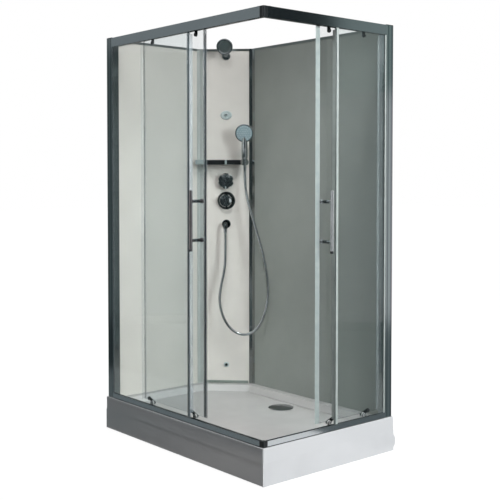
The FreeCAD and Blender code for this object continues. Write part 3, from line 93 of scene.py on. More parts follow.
# ---------------------------------------------------------------- materials
# How many features of a pattern stand in a metre.
SHEET_SHADE = 6.0         # 170 mm: the slow drift of tone over a formed sheet
SHEET_WAVE = 9.0          # 110 mm: the waves that the mould leaves in it
EXTRUSION_SHADE = 3.0     # 330 mm: the drift of an anodising bath along a length
EXTRUSION_GRAIN = 400.0   # 2.5 mm: die lines are 0.1 mm apart, drawn coarser so that they show
PLATING_SHADE = 12.0      # 80 mm: the drift of a plated coat over a fitting
MOULDED_SHADE = 40.0      # 25 mm: the flow of the plastic in its mould
MOULDED_GRAIN = 900.0     # 1.1 mm: spark grain is 0.2 mm, drawn coarser so that it shows
PVC_SHADE, PVC_WAVE = 30.0, 60.0            # 33 and 17 mm: a soft strip's cloudiness and sag
SILICONE_SHADE, SILICONE_WAVE = 25.0, 70.0  # 40 and 14 mm: the passes of the smoothing finger


def linear(hex_colour):
    """sRGB hex to the linear colour that shaders take."""
    values = [int(hex_colour[i:i + 2], 16) / 255 for i in (1, 3, 5)]
    return tuple(v / 12.92 if v <= 0.04045 else ((v + 0.055) / 1.055) ** 2.4 for v in values) + (1.0,)


def add(tree, kind, settings=None, **sockets):
    """Adds a node. Sockets are told by name, or as s and their number, and take a value or
    another node's socket to link from."""
    node = tree.nodes.new(kind)
    for key, value in (settings or {}).items():
        setattr(node, key, value)
    for key, value in sockets.items():
        socket = node.inputs[int(key[1:]) if key[1:].isdigit() else key.replace("_", " ")]
        if isinstance(value, bpy.types.NodeSocket):
            tree.links.new(value, socket)
        else:
            socket.default_value = value
    return node


def empty_material(name):
    material = bpy.data.materials.new(name)
    material.use_nodes = True
    material.node_tree.nodes.clear()
    return material, material.node_tree


def finished(material, shader):
    """Links a shader, or a mix of shaders, to the material's output."""
    add(material.node_tree, "ShaderNodeOutputMaterial", Surface=shader.outputs[0])
    return material


def set_stops(ramp, stops):
    """Gives a colour ramp its stops of (position, hex colour)."""
    elements = ramp.color_ramp.elements
    while len(elements) < len(stops):
        elements.new(0.5)
    for element, (position, colour) in zip(elements, stops):
        element.position = position
        element.color = linear(colour)


def drifting(tree, dark, light, scale):
    """A colour that drifts between two shades."""
    place = add(tree, "ShaderNodeTexCoord").outputs["Object"]
    noise = add(tree, "ShaderNodeTexNoise", Vector=place, Scale=scale, Detail=3.0)
    ramp = add(tree, "ShaderNodeValToRGB", Fac=noise.outputs["Fac"])
    set_stops(ramp, ((0.35, dark), (0.65, light)))
    return ramp.outputs["Color"]


def uneven(tree, scale, strength, height):
    """The slight unevenness of a surface, as a normal; height in metres."""
    place = add(tree, "ShaderNodeTexCoord").outputs["Object"]
    noise = add(tree, "ShaderNodeTexNoise", Vector=place, Scale=scale, Detail=2.0)
    bump = add(tree, "ShaderNodeBump", Strength=strength, Distance=height, Height=noise.outputs["Fac"])
    return bump.outputs["Normal"]


def axis_places(tree):
    """The three Object coordinates, as sockets told by axis."""
    place = add(tree, "ShaderNodeTexCoord").outputs["Object"]
    return add(tree, "ShaderNodeSeparateXYZ", Vector=place).outputs


def sanitary_acrylic(name, dark, light, rim=None):
    """Cast acrylic sheet, vacuum-formed: an even tone under a clear gloss whose reflections waver.
    The tray's outer rim, where one is given, shows the bluish sheet of the aprons."""
    material, tree = empty_material(name)
    colour = drifting(tree, dark, light, SHEET_SHADE)
    if rim:
        place = axis_places(tree)
        reach = []
        for axis, half in (("X", TRAY_HALF_X), ("Y", TRAY_HALF_Y)):
            side = add(tree, "ShaderNodeMath", {"operation": "ABSOLUTE"}, s0=place[axis])
            reach.append(add(tree, "ShaderNodeMath", {"operation": "GREATER_THAN"},
                             s0=side.outputs[0], s1=half - 0.005))
        outer = add(tree, "ShaderNodeMath", {"operation": "MAXIMUM"},
                    s0=reach[0].outputs[0], s1=reach[1].outputs[0])
        colour = add(tree, "ShaderNodeMix", {"data_type": "RGBA"}, s0=outer.outputs[0],
                     s6=colour, s7=linear(rim)).outputs[2]
    return finished(material, add(
        tree, "ShaderNodeBsdfPrincipled", Base_Color=colour, Roughness=0.16, IOR=1.49,
        Normal=uneven(tree, SHEET_WAVE, 0.08, 0.002)))


def polished_aluminium(name, dark, light, roughness):
    """Extruded aluminium, polished and anodised: a grey mirror with the fine grain of the die."""
    material, tree = empty_material(name)
    return finished(material, add(
        tree, "ShaderNodeBsdfPrincipled", Base_Color=drifting(tree, dark, light, EXTRUSION_SHADE),
        Metallic=1.0, Roughness=roughness, Normal=uneven(tree, EXTRUSION_GRAIN, 0.03, 0.0002)))


def aluminium_with_painted_groove_light(name, axis, start, bands):
    """The same aluminium with painted highlights and painted shade: bright and dark bands across
    the post's width stand in for the light and shade on grooves down its face. Bands of (share
    of the width, colour)."""
    material, tree = empty_material(name)
    across = add(tree, "ShaderNodeMapRange", s0=axis_places(tree)[axis], s1=start,
                 s2=start + POST_WIDTH, s3=0.0, s4=1.0)
    ramp = add(tree, "ShaderNodeValToRGB", Fac=across.outputs[0])
    set_stops(ramp, bands)
    return finished(material, add(
        tree, "ShaderNodeBsdfPrincipled", Base_Color=ramp.outputs["Color"], Metallic=1.0,
        Roughness=0.14, Normal=uneven(tree, EXTRUSION_GRAIN, 0.03, 0.0002)))


def column_aluminium_painted_pale_left(name, pale_dark_painted, satin, bright):
    """Column profiles: beside the white wall a pale, non-metal tone, a painted reflection that reads
    as a pale line; beside the grey wall polished metal, which mirrors the room."""
    material, tree = empty_material(name)
    polished = add(tree, "ShaderNodeMath", {"operation": "GREATER_THAN"},
                   s0=axis_places(tree)["X"], s1=COLUMN.x)
    colour = add(tree, "ShaderNodeMix", {"data_type": "RGBA"}, s0=polished.outputs[0],
                 s6=drifting(tree, pale_dark_painted, satin, PLATING_SHADE),
                 s7=drifting(tree, satin, bright, PLATING_SHADE))
    return finished(material, add(
        tree, "ShaderNodeBsdfPrincipled", Base_Color=colour.outputs[2],
        Metallic=polished.outputs[0], Roughness=0.12))


def chrome_plate(name, dark, light, roughness=0.07):
    """Chrome over nickel on brass, steel or ABS: a mirror, slightly blue, hardly ever scratched."""
    material, tree = empty_material(name)
    return finished(material, add(
        tree, "ShaderNodeBsdfPrincipled", Base_Color=drifting(tree, dark, light, PLATING_SHADE),
        Metallic=1.0, Roughness=roughness))


def toughened_glass(name, tint):
    """Float glass, heat-toughened: clear with a green cast in its thickness, and a sharp mirror at
    a slant. Lamps shine through it, so the walls behind stay lit."""
    material, tree = empty_material(name)
    glass = add(tree, "ShaderNodeBsdfPrincipled", Base_Color=linear(tint), Roughness=0.0, IOR=1.45,
                Transmission_Weight=1.0)
    clear = add(tree, "ShaderNodeBsdfTransparent", Color=linear(tint))
    path = add(tree, "ShaderNodeLightPath")
    return finished(material, add(tree, "ShaderNodeMixShader", s0=path.outputs["Is Shadow Ray"],
                                  s1=glass.outputs["BSDF"], s2=clear.outputs["BSDF"]))


def moulded_plastic(name, dark, light, roughness=0.35):
    """Injection-moulded plastic: an even tone under a matt skin with a fine grain."""
    material, tree = empty_material(name)
    return finished(material, add(
        tree, "ShaderNodeBsdfPrincipled", Base_Color=drifting(tree, dark, light, MOULDED_SHADE),
        Roughness=roughness, IOR=1.5, Normal=uneven(tree, MOULDED_GRAIN, 0.12, 0.0003)))


def soft_pvc(name, dark, light, body):
    """Extruded soft PVC: a bluish, half clear strip with a waxy gloss; body is how far it hides."""
    material, tree = empty_material(name)
    return finished(material, add(
        tree, "ShaderNodeBsdfPrincipled", Base_Color=drifting(tree, dark, light, PVC_SHADE),
        Roughness=0.3, IOR=1.53, Alpha=body, Normal=uneven(tree, PVC_WAVE, 0.10, 0.001)))


def silicone(name, dark, light):
    """Silicone, cast or smoothed with a wet finger: a dull rubbery skin whose edge wavers."""
    material, tree = empty_material(name)
    return finished(material, add(
        tree, "ShaderNodeBsdfPrincipled", Base_Color=drifting(tree, dark, light, SILICONE_SHADE),
        Roughness=0.45, IOR=1.41, Normal=uneven(tree, SILICONE_WAVE, 0.3, 0.001)))


MATERIALS = {
    "tray": sanitary_acrylic("sanitary acrylic, white", "#D2D1D0", "#D8D7D6", "#E7EAED"),
    "apron": sanitary_acrylic("sanitary acrylic, apron", "#E4E7EA", "#EAEDF0"),
    "wall_white": sanitary_acrylic("white wall panel", "#E4E1DA", "#E9E6DF"),
    "wall_column": sanitary_acrylic("white column panel", "#EBE7E1", "#F0ECE6"),
    # The back wall's grey is partly the panel's own tone and partly painted shade.
    "wall_grey": sanitary_acrylic("grey wall panel, partly painted shade", "#A6ACA7", "#ABB1AC"),
    "rail": polished_aluminium("polished aluminium rail", "#C0C5C8", "#C6CBCE", 0.12),
    # Wall profiles: the bands are painted highlights and painted shade of grooves; the front profile's
    # tones are darker overall, painted shade.
    "post_front": aluminium_with_painted_groove_light("aluminium wall profile, front", "X", -FRAME_X, (
        (0.0, "#8E9696"), (0.16, "#C6CCCC"), (0.22, "#7E8688"), (0.50, "#A8AEB0"), (0.56, "#D2D8D8"),
        (0.62, "#7A8284"), (0.90, "#A2A8AA"), (1.0, "#C8D0D0"))),
    "post_side": aluminium_with_painted_groove_light("aluminium wall profile, side", "Y", FRAME_Y - POST_WIDTH, (
        (0.0, "#D0D8D8"), (0.25, "#A0AAAC"), (0.30, "#5E6A6C"), (0.38, "#B8C4C4"), (0.66, "#BCC6C8"),
        (0.72, "#98A0A4"), (1.0, "#A8A8AC"))),
    "trim": polished_aluminium("anodised aluminium trim", "#8F9694", "#989F9D", 0.3),
    "zinc": polished_aluminium("zinc-plated steel", "#8E9496", "#A1A6A7", 0.4),
    "brass": polished_aluminium("cast brass", "#A98A4A", "#BC9C58", 0.38),
    "profile": column_aluminium_painted_pale_left("column profile, painted pale reflection on the left", "#C0C6C3", "#C5CBC8", "#C4C9CB"),
    "chrome": chrome_plate("chrome plate", "#C2C7C9", "#C8CDCF"),
    # Painted dark reflection: plain chrome darkened to stand in for the dark room it mirrors.
    "chrome_painted_dark_reflection": chrome_plate("chrome plate, painted dark reflection", "#5C6466", "#687072", 0.14),
    # One polished steel bar in two tones: the front handle darkened with a painted dark reflection, the
    # side one brightened with a painted bright reflection.
    "handle_painted_dark_reflection": chrome_plate("steel bar, polished, painted dark reflection", "#8A8688", "#949092", 0.22),
    "handle_painted_bright_reflection": chrome_plate("steel bar, polished, painted bright reflection", "#D2D6D8", "#DADEE0", 0.26),
    "glass": toughened_glass("toughened glass", "#F7FAFA"),
    "door_glass": toughened_glass("toughened glass, grey tint", "#F2F4F4"),
    "jet": moulded_plastic("pale satin ABS", "#BCC9CA", "#C9D4D4", 0.28),
    "clip": moulded_plastic("pale shelf clip", "#96A4A4", "#A2AFAF", 0.3),
    # Painted shade for the hollows of the jets.
    "painted_shade_dark": moulded_plastic("painted shade in jet mouths", "#122424", "#1A2E2E", 0.4),
    "dark_face": moulded_plastic("dark nozzle plate", "#2A3534", "#3A4745", 0.25),
    "face": moulded_plastic("pale blue ABS", "#8FA4AB", "#9DB0B6", 0.25),
    "black": moulded_plastic("black ABS", "#14181A", "#1C2123"),
    "nylon": moulded_plastic("white nylon roller", "#C9CCCB", "#D6D8D7", 0.3),
    "pipe": moulded_plastic("grey PEX pipe", "#8A8F92", "#949A9D", 0.4),
    "trap": moulded_plastic("white polypropylene", "#D2D4D3", "#DCDEDD", 0.4),
    "pvc_clear": soft_pvc("soft PVC, clear", "#B8C6CE", "#C8D4DA", 0.30),
    "pvc_blue": soft_pvc("soft PVC, bluish", "#B9C8C8", "#C8D5D2", 0.74),
    "pvc_white": soft_pvc("soft PVC, whitish", "#C4CFCD", "#D0DAD7", 0.72),
    "pvc_thin": soft_pvc("soft PVC, thin", "#B4BEC2", "#C0C9CC", 0.12),
    "magnet": silicone("magnetic strip and painted glass-edge shade", "#2C3A3E", "#36464A"),
    "bead": silicone("grey silicone", "#343C3E", "#40494B"),
    "bead_pale": silicone("pale silicone", "#8C968F", "#979F99"),
    "nozzle": silicone("silicone nozzles", "#C3D2D6", "#D2DEE1"),
}
FINISH = {
    "tray": ("shower_tray",),
    "apron": ("apron_front", "apron_side"),
    "wall_white": ("wall_panel_end",),
    "wall_column": ("column_panel",),
    "wall_grey": ("wall_panel_back",),
    "rail": ("top_rail_front", "top_rail_side", "bottom_rail_front", "bottom_rail_side"),
    "post_front": ("post_front",),
    "post_side": ("post_side",),
    "trim": ("wall_trims",),
    "zinc": ("support_bars", "foot_screws", "frame_screws"),
    "brass": ("valve_block",),
    "profile": ("column_profiles",),
    "chrome": ("overhead_arm", "overhead_collar", "overhead_head", "handset_holder", "hand_shower",
               "hose", "hose_nuts", "mixer_knob", "diverter_knob", "drain_cover",
               "front_door_carriers", "side_door_carriers"),
    "chrome_painted_dark_reflection": ("valve_rosettes", "outlet_elbow"),
    "handle_painted_dark_reflection": ("front_door_handle",),
    "handle_painted_bright_reflection": ("side_door_handle",),
    "glass": ("fixed_glass_front", "fixed_glass_side"),
    "door_glass": ("front_door_glass", "side_door_glass"),
    "jet": ("jet_housings", "jet_eye"),
    "black": ("corner_brackets", "post_caps", "shelf", "foot_pads"),
    "nylon": ["%s_door_wheel_%s_%s" % (run, level, end) for run in RUNS
              for level in ROLLER_Z for end in ("lead", "trail")],
    "pipe": ("pipework",),
    "trap": ("waste_trap",),
    "pvc_clear": ("fixed_seal_front", "front_door_lead_seal"),
    "pvc_blue": ("side_door_lead_seal",),
    "pvc_white": ("fixed_seal_side",),
    "pvc_thin": ("front_door_trail_seal", "side_door_trail_seal"),
}
for finish, names in FINISH.items():
    for name in names:
        for slot in nodes[name].material_slots:
            slot.material = MATERIALS[finish]
        if not nodes[name].material_slots:
            nodes[name].data.materials.append(MATERIALS[finish])


# ---------------------------------------------------------------- helpers for pieces
def object_from(name, mesh):
    """Makes a bmesh an object of the scene."""
    data = bpy.data.meshes.new(name)
    mesh.to_mesh(data)
    mesh.free()
    made = bpy.data.objects.new(name, data)
    scene.collection.objects.link(made)
    return made


def piece(name, mesh, finish, body, place=None, smooth=True):
    """A finished piece with its place in its mesh, riding on a body."""
    if place is not None:
        bmesh.ops.transform(mesh, matrix=place, verts=mesh.verts)
    made = object_from(name, mesh)
    made.data.polygons.foreach_set("use_smooth", [smooth] * len(made.data.polygons))
    made.data.materials.append(MATERIALS[finish])
    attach(made, body)


def turned(profile, steps=40):
    """A shell turned round Y; the profile gives radius and how far it stands out towards -Y."""
    mesh = bmesh.new()
    line = [mesh.verts.new((radius, -out, 0.0)) for radius, out in profile]
    edges = [mesh.edges.new(pair) for pair in zip(line, line[1:])]
    bmesh.ops.spin(mesh, geom=line + edges, cent=(0, 0, 0), axis=(0, 1, 0), angle=math.tau,
                   steps=steps, use_merge=True)
    bmesh.ops.remove_doubles(mesh, verts=mesh.verts, dist=1e-6)
    bmesh.ops.recalc_face_normals(mesh, faces=mesh.faces)
    return mesh


def bar(a, b, rounding):
    """A bar between two opposite corners, with rounded edges."""
    mesh = bmesh.new()
    bmesh.ops.create_cube(mesh, size=1.0)
    bmesh.ops.scale(mesh, vec=[abs(q - p) for p, q in zip(a, b)], verts=mesh.verts)
    bmesh.ops.translate(mesh, vec=[(p + q) / 2 for p, q in zip(a, b)], verts=mesh.verts)
    bmesh.ops.bevel(mesh, geom=mesh.edges, affect="EDGES", offset=rounding, segments=2,
                    profile=0.5, material=-1)
    return mesh


def nozzles(rings, radius, height):
    """Rings of soft nozzles on a face that looks towards -Y: rings of (count, radius, out)."""
    mesh = bmesh.new()
    for count, ring, out in rings:
        for index in range(count):
            turn = math.tau * index / count
            place = Matrix.Translation((ring * math.cos(turn), -out, ring * math.sin(turn)))
            bmesh.ops.create_cone(mesh, cap_ends=True, segments=8, radius1=radius,
                                  radius2=radius * 0.7, depth=height,
                                  matrix=place @ Matrix.Rotation(QUARTER_TURN, 4, "X"))
    return mesh


# ---------------------------------------------------------------- lines along seals and rails
# Painted shade: a dark strip on each fixed pane's face, along its free edge, stands in for the dark look
# of the glass edge.
for run, at in RUNS.items():
    piece("fixed_edge_line_" + run,
          bar(on_run(run, at["edge"], 0.0008, PANE_LOW),
              on_run(run, at["edge"] + at["edge_line"], 0.0016, PANE_HIGH), 0.0002),
          "magnet", "enclosure", smooth=False)
piece("front_magnet_strip",
      bar(on_run("front", 0.4120, 0.0259, 0.205), on_run("front", 0.4195, 0.0267, 1.885), 0.0002),
      "magnet", "front_door", smooth=False)
for run, at in RUNS.items():
    piece("rail_sealant_" + run,
          bar(on_run(run, 0.012, -0.0009, RIM_Z - 0.0002),
              on_run(run, at["rail_end"], 0.0015, RIM_Z + 0.0030), 0.0006),
          "bead", "enclosure")

# ---------------------------------------------------------------- shower heads
OVERHEAD_FACE = facing_column(0.0, 0.08807, 1.94906, math.radians(20))
piece("overhead_nozzle_plate",
      turned([(0.0, 0.0001), (0.010, 0.0002), (0.0215, -0.0006), (0.031, -0.0013), (0.0322, -0.0022)]),
      "dark_face", "overhead_head", OVERHEAD_FACE)
piece("overhead_nozzles",
      nozzles(((1, 0.0, 0.0003), (7, 0.010, 0.0002), (13, 0.019, -0.0002), (19, 0.028, -0.0009)),
              0.0019, 0.0024),
      "nozzle", "overhead_head", OVERHEAD_FACE)
HAND_FACE = facing_column(HAND_SHOWER_ALONG, 0.09329, 1.4955, math.radians(12))
piece("hand_shower_nozzle_plate",
      turned([(0.0, 0.0103), (0.010, 0.0102), (0.025, 0.0096), (0.038, 0.0086), (0.0425, 0.0080),
              (0.0432, 0.0072)]),
      "face", "hand_shower", HAND_FACE)
piece("hand_shower_nozzles",
      nozzles(((1, 0.0, 0.0106), (6, 0.0115, 0.0104), (12, 0.0230, 0.0098), (18, 0.0345, 0.0091)),
              0.0027, 0.0026),
      "nozzle", "hand_shower", HAND_FACE)

# The grip swells below the head and narrows into the holder's cup.
GRIP_AXIS = (facing_column(HAND_SHOWER_ALONG, 0.072, 1.344, math.radians(8))
             @ Matrix.Rotation(-QUARTER_TURN, 4, "X"))
piece("hand_shower_grip",
      turned([(0.0124, 0.0185), (0.0146, 0.0200), (0.0156, 0.0290), (0.0163, 0.0560),
              (0.0160, 0.0860), (0.0150, 0.1090), (0.0125, 0.1160)], 48),
      "chrome", "hand_shower", GRIP_AXIS)

# ---------------------------------------------------------------- shelf, column foot, diverter
piece("shelf_end_trim", bar((-0.1565, -0.0650, 1.3308), (-0.1000, -0.0636, 1.3554), 0.0005),
      "clip", "enclosure", facing_column())
piece("shelf_clip", bar((-0.0015, -0.0658, 1.3302), (0.0095, -0.0636, 1.3558), 0.0006),
      "clip", "enclosure", facing_column())
piece("column_foot_bead", bar((-0.118, -0.0016, 0.1486), (0.118, 0.0004, 0.1630), 0.0006),
      "bead_pale", "enclosure", facing_column())
piece("diverter_pointer", bar((-0.0030, -0.0362, -0.0412), (0.0030, -0.0300, -0.0290), 0.0010),
      "jet", "diverter_knob", facing_column(up=DIVERTER_Z))

# ---------------------------------------------------------------- jets, caps, sleeves, rollers
# Painted shade: a dark slot in the upper jet's eye and a dark disc over the lower jet's dished mouth stand
# in for the shade inside these hollows.
piece("jet_eye_slot", bar((-0.0072, -0.0106, -0.0014), (0.0072, -0.0084, 0.0042), 0.0008),
      "painted_shade_dark", "jet_eye", facing_column(up=UPPER_JET_Z))
piece("lower_jet_mouth", turned([(0.0, 0.0068), (0.0060, 0.0067), (0.0074, 0.0062), (0.0076, 0.0050)], 24),
      "painted_shade_dark", "enclosure", facing_column(up=LOWER_JET_Z))

# Profiles of turned pieces: (radius, out).
FIXING_CAP = [(0.0, 0.0034), (0.0056, 0.0033), (0.0078, 0.0025), (0.0084, 0.0012), (0.0084, 0.0002)]
HANDLE_SLEEVE = [(0.0054, 0.0), (0.0070, 0.0006), (0.0070, 0.0370), (0.0054, 0.0376)]
HANDLE_END = [(0.0, 0.0112), (0.0058, 0.0110), (0.0077, 0.0092), (0.0078, 0.0), (0.0074, 0.0)]
ROLLER_RIM = [(0.0074, 0.0004), (0.0078, 0.0011), (0.0100, 0.0011), (0.0109, 0.0003), (0.0109, -0.0006)]
for run, at in RUNS.items():
    for end, u in at["rollers"].items():
        for level in ROLLER_Z:
            piece("%s_fixing_cap_%s_%s" % (run, level, end), turned(FIXING_CAP, 24), "black",
                  run + "_door",
                  facing_run(run, u + CAP_SHIFT[level], CAP_IN, CAP_Z[level]))
# The handle sleeves take chrome darkened with a painted dark reflection.
for run, at in RUNS.items():
    for level, z in SLEEVE_Z.items():
        piece("%s_handle_sleeve_%s" % (run, level), turned(HANDLE_SLEEVE, 32), "chrome_painted_dark_reflection",
              run + "_door", facing_run(run, at["handle"], SLEEVE_IN, z))
    piece(run + "_handle_end", turned(HANDLE_END, 32), "black", run + "_door",
          facing_run(run, at["handle"], HANDLE_END_IN, HANDLE_END_Z)
          @ Matrix.Rotation(QUARTER_TURN, 4, "X"))
for run, at in RUNS.items():
    for end, u in at["rollers"].items():
        for level, z in ROLLER_Z.items():
            piece("%s_roller_rim_%s_%s" % (run, level, end), turned(ROLLER_RIM, 32), "black",
                  "%s_wheel_%s_%s" % (run, level, end),
                  facing_run(run, u, ROLLER_IN, z))

# ---------------------------------------------------------------- hose
HOSE_DIAMETER = 0.014
HOSE_ROUTE = [      # along the column, out from it, height
    (0.000, 0.0500, 0.9660), (0.000, 0.0500, 0.8880), (-0.001, 0.0550, 0.7800),
    (-0.024, 0.0680, 0.6760), (-0.031, 0.0800, 0.5920), (-0.002, 0.0940, 0.5020),
    (0.047, 0.1020, 0.4440), (0.112, 0.1110, 0.4260), (0.170, 0.1190, 0.4560),
    (0.206, 0.1240, 0.5150), (0.229, 0.1270, 0.6000), (0.236, 0.1290, 0.6990),
    (0.208, 0.1240, 0.8620), (0.157, 0.1040, 1.0270), (0.120, 0.0780, 1.1430),
    (0.105, 0.05474, 1.22121), (0.105, 0.06560, 1.29845),
]
hose_curve = bpy.data.curves.new("metal hose", "CURVE")
hose_curve.dimensions = "3D"
hose_curve.resolution_u = 12
spline = hose_curve.splines.new("NURBS")
spline.points.add(len(HOSE_ROUTE) - 1)
for point, place in zip(spline.points, HOSE_ROUTE):
    point.co = (*on_column(*place), 1.0)
spline.order_u = 3
spline.use_endpoint_u = True
hose_curve.bevel_depth = HOSE_DIAMETER / 2
hose_curve.bevel_resolution = 4
hose_curve.use_fill_caps = True
metal_hose = bpy.data.objects.new("metal_hose", hose_curve)
scene.collection.objects.link(metal_hose)
hose_curve.materials.append(MATERIALS["chrome"])
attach(metal_hose, "enclosure")
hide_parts("hose")

# ---------------------------------------------------------------- studio
WHITE_TO_CAMERA = 1.0
AMBIENT = 0.075                         # the world's strength on matt surfaces
FLOOR_GLOW = 0.90                       # the floor's own light near the tray, to camera and mirrors
FLOOR_FADE = (1.0, 3.2)                 # where the floor goes over into the white background
CARD_FADE = (4.0, 7.5)                  # where the floor cards melt into it
WHITE = (1.0, 1.0, 1.0, 1.0)
UPWARDS = (0.0, 0.0, 1.0)


def product(tree, a, b):
    return add(tree, "ShaderNodeMath", {"operation": "MULTIPLY"}, s0=a, s1=b).outputs[0]


def seen_directly(tree):
    """1 for rays from the camera, mirrors and glass that have met no matt surface, else 0."""
    path = add(tree, "ShaderNodeLightPath").outputs
    first = add(tree, "ShaderNodeMath", {"operation": "LESS_THAN"}, s0=path["Diffuse Depth"], s1=0.5)
    seen = path["Is Camera Ray"]
    for ray in ("Is Glossy Ray", "Is Transmission Ray"):
        seen = add(tree, "ShaderNodeMath", {"operation": "MAXIMUM"}, s0=seen, s1=path[ray]).outputs[0]
    return product(tree, seen, first.outputs[0])


def by_distance(tree, distances, near, far):
    """A value that goes from near to far between two distances from the origin."""
    place = add(tree, "ShaderNodeTexCoord").outputs["Object"]
    away = add(tree, "ShaderNodeVectorMath", {"operation": "LENGTH"}, s0=place)
    return add(tree, "ShaderNodeMapRange", {"interpolation_type": "SMOOTHSTEP"},
               s0=away.outputs["Value"], s1=distances[0], s2=distances[1], s3=near, s4=far).outputs[0]


world = bpy.data.worlds.new("studio")
scene.world = world
world.use_nodes = True
tree = world.node_tree
tree.nodes.clear()
strength = add(tree, "ShaderNodeMapRange", s0=seen_directly(tree), s3=AMBIENT, s4=WHITE_TO_CAMERA)
background = add(tree, "ShaderNodeBackground", Color=WHITE, Strength=strength.outputs[0])
add(tree, "ShaderNodeOutputWorld", Surface=background.outputs[0])

floor_mesh = bmesh.new()
bmesh.ops.create_grid(floor_mesh, x_segments=1, y_segments=1, size=30.0)
floor = object_from("studio_floor", floor_mesh)
material, tree = empty_material("pale floor")
matt = add(tree, "ShaderNodeBsdfDiffuse", Color=linear("#8C8C8C"))
glow = add(tree, "ShaderNodeEmission", Color=WHITE, Strength=product(
    tree, seen_directly(tree), by_distance(tree, FLOOR_FADE, FLOOR_GLOW, WHITE_TO_CAMERA)))
floor.data.materials.append(finished(material, add(tree, "ShaderNodeAddShader", s0=matt.outputs[0],
                                                   s1=glow.outputs[0])))


def card(name, centre, facing, width, height, shade, stops=(), fade=None):
    """A studio card that only mirrors see: it sets the tone of what polished metal reflects.

    Stops give tones along X, in metres, where the card isn't even; fade gives the two distances
    from the origin between which it melts into the studio."""
    mesh = bmesh.new()
    bmesh.ops.create_grid(mesh, x_segments=1, y_segments=1, size=0.5)
    bmesh.ops.scale(mesh, vec=(width, height, 1.0), verts=mesh.verts)
    turn = Vector(facing).to_track_quat("Z", "Y").to_matrix().to_4x4()
    bmesh.ops.transform(mesh, matrix=Matrix.Translation(centre) @ turn, verts=mesh.verts)
    made = object_from(name, mesh)
    material, tree = empty_material(name)
    tone = add(tree, "ShaderNodeEmission", Color=linear(shade), Strength=1.0)
    if stops:
        low, high = stops[0][0], stops[-1][0]
        across = add(tree, "ShaderNodeMapRange", s0=axis_places(tree)["X"], s1=low, s2=high,
                     s3=0.0, s4=1.0)
        ramp = add(tree, "ShaderNodeValToRGB", Fac=across.outputs[0])
        set_stops(ramp, [((x - low) / (high - low), colour) for x, colour in stops])
        tree.links.new(ramp.outputs["Color"], tone.inputs["Color"])
    path = add(tree, "ShaderNodeLightPath")
    mirrored = add(tree, "ShaderNodeMath", {"operation": "GREATER_THAN"},
                   s0=path.outputs["Glossy Depth"], s1=0.5).outputs[0]
    if fade:
        mirrored = product(tree, mirrored, by_distance(tree, fade, 1.0, 0.0))
    unseen = add(tree, "ShaderNodeBsdfTransparent")
    made.data.materials.append(finished(material, add(
        tree, "ShaderNodeMixShader", s0=mirrored, s1=unseen.outputs[0], s2=tone.outputs[0])))
    made.visible_camera = made.visible_diffuse = made.visible_shadow = False
    made.visible_volume_scatter = False


def standing_card(name, azimuth, distance, span, heights, shade):
    """A card square to an azimuth; span is measured along it, counterclockwise from its middle."""
    turn = math.radians(azimuth)
    away = Vector((math.cos(turn), math.sin(turn), 0.0))
    along = Vector((-math.sin(turn), math.cos(turn), 0.0))
    centre = away * distance + along * (sum(span) / 2) + Vector((0.0, 0.0, sum(heights) / 2))
    card(name, centre, -away, span[1] - span[0], heights[1] - heights[0], shade)


# What the front rails, posts and panes mirror (left), the side ones (right), and the fittings.
LEFT, RIGHT, BEHIND = (216, 4.5), (45, 4.5), (320, 5.6)     # azimuth and distance
standing_card("card left low", *LEFT, (-2.4, 2.4), (0.0, 2.4), "#576263")
standing_card("card left high", *LEFT, (-2.4, 2.4), (2.4, 3.8), "#868D8F")
standing_card("card right dark", *RIGHT, (-1.7, -0.355), (2.0, 3.8), "#22292B")
standing_card("card right high", *RIGHT, (-0.355, 1.7), (2.0, 3.8), "#83908F")
standing_card("card right low", *RIGHT, (-1.7, 0.03), (0.0, 2.0), "#8A8E90")
standing_card("card by the side post", *RIGHT, (0.03, 1.7), (0.0, 2.0), "#CACACC")
standing_card("card behind the camera", *BEHIND, (-3.6, 3.6), (0.0, 5.0), "#343B3D")
card("card floor front", (-0.6, -0.94, 0.004), UPWARDS, 2.4, 0.54, "#747C7E")
card("card by the front apron", (-0.4, -0.54, 0.005), UPWARDS, 2.2, 0.26, "#BCBCBC",
     ((-1.2, "#6A8284"), (-0.71, "#7A9092"), (-0.10, "#BCBCBC"), (0.24, "#FFFCF8"), (0.6, "#FFFCF8")))
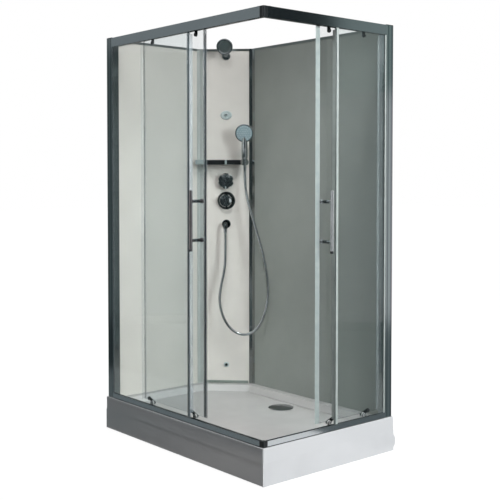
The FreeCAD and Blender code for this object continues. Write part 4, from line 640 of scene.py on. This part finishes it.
card("card floor", (0.0, -4.23, 0.003), UPWARDS, 15.0, 7.54, "#3A4345",
     ((-1.0, "#3A4345"), (1.6, "#50585A")), CARD_FADE)
card("card floor side", (1.325, 0.94, 0.004), UPWARDS, 1.15, 1.12, "#6A7274")
card("card floor right", (4.15, 3.95, 0.003), UPWARDS, 7.0, 7.2, "#6A7274", fade=CARD_FADE)


def soft_box(name, place, target, size, power, spread=180.0, mirrored=False):
    """A rectangular lamp aimed at a target, spread in degrees. It shines through the panes; unless
    it is mirrored, no pane or metal shows it, where it would be a hard white patch."""
    lamp = bpy.data.lights.new(name, "AREA")
    lamp.shape = "RECTANGLE"
    lamp.size, lamp.size_y = size
    lamp.energy = power
    lamp.spread = math.radians(spread)
    if not mirrored:
        lamp.use_nodes = True
        tree = lamp.node_tree
        tree.nodes.clear()
        path = add(tree, "ShaderNodeLightPath")
        plain = add(tree, "ShaderNodeMath", {"operation": "LESS_THAN"},
                    s0=path.outputs["Glossy Depth"], s1=0.5)
        light = add(tree, "ShaderNodeEmission", Strength=plain.outputs[0])
        add(tree, "ShaderNodeOutputLight", Surface=light.outputs[0])
    holder = bpy.data.objects.new(name, lamp)
    holder.location = place
    holder.rotation_euler = (Vector(target) - Vector(place)).to_track_quat("-Z", "Y").to_euler()
    holder.visible_camera = False
    holder.visible_glossy = mirrored
    scene.collection.objects.link(holder)


soft_box("key", (4.0, 0.35, 2.3), (0.0, -0.1, 0.9), (2.0, 2.0), 152.0)
soft_box("cabin", (0.75, -0.85, 3.1), (-0.15, 0.25, 0.5), (0.6, 0.6), 4.0, 60.0, mirrored=True)
soft_box("behind the walls", (-2.9, 2.7, 1.2), (-0.3, 0.2, 0.9), (2.4, 1.6), 70.0, 120.0)

# ---------------------------------------------------------------- camera
camera_data = bpy.data.cameras.new("camera")
camera_data.sensor_width = 36.0
camera_data.lens = 66.6
camera_data.shift_y = -0.0786
camera = bpy.data.objects.new("camera", camera_data)
camera.location = (3.396, -2.844, 1.257)
camera.rotation_euler = (math.radians(88.0), 0.0, math.radians(49.66))
scene.collection.objects.link(camera)
scene.camera = camera
scene.view_settings.view_transform = "Standard"
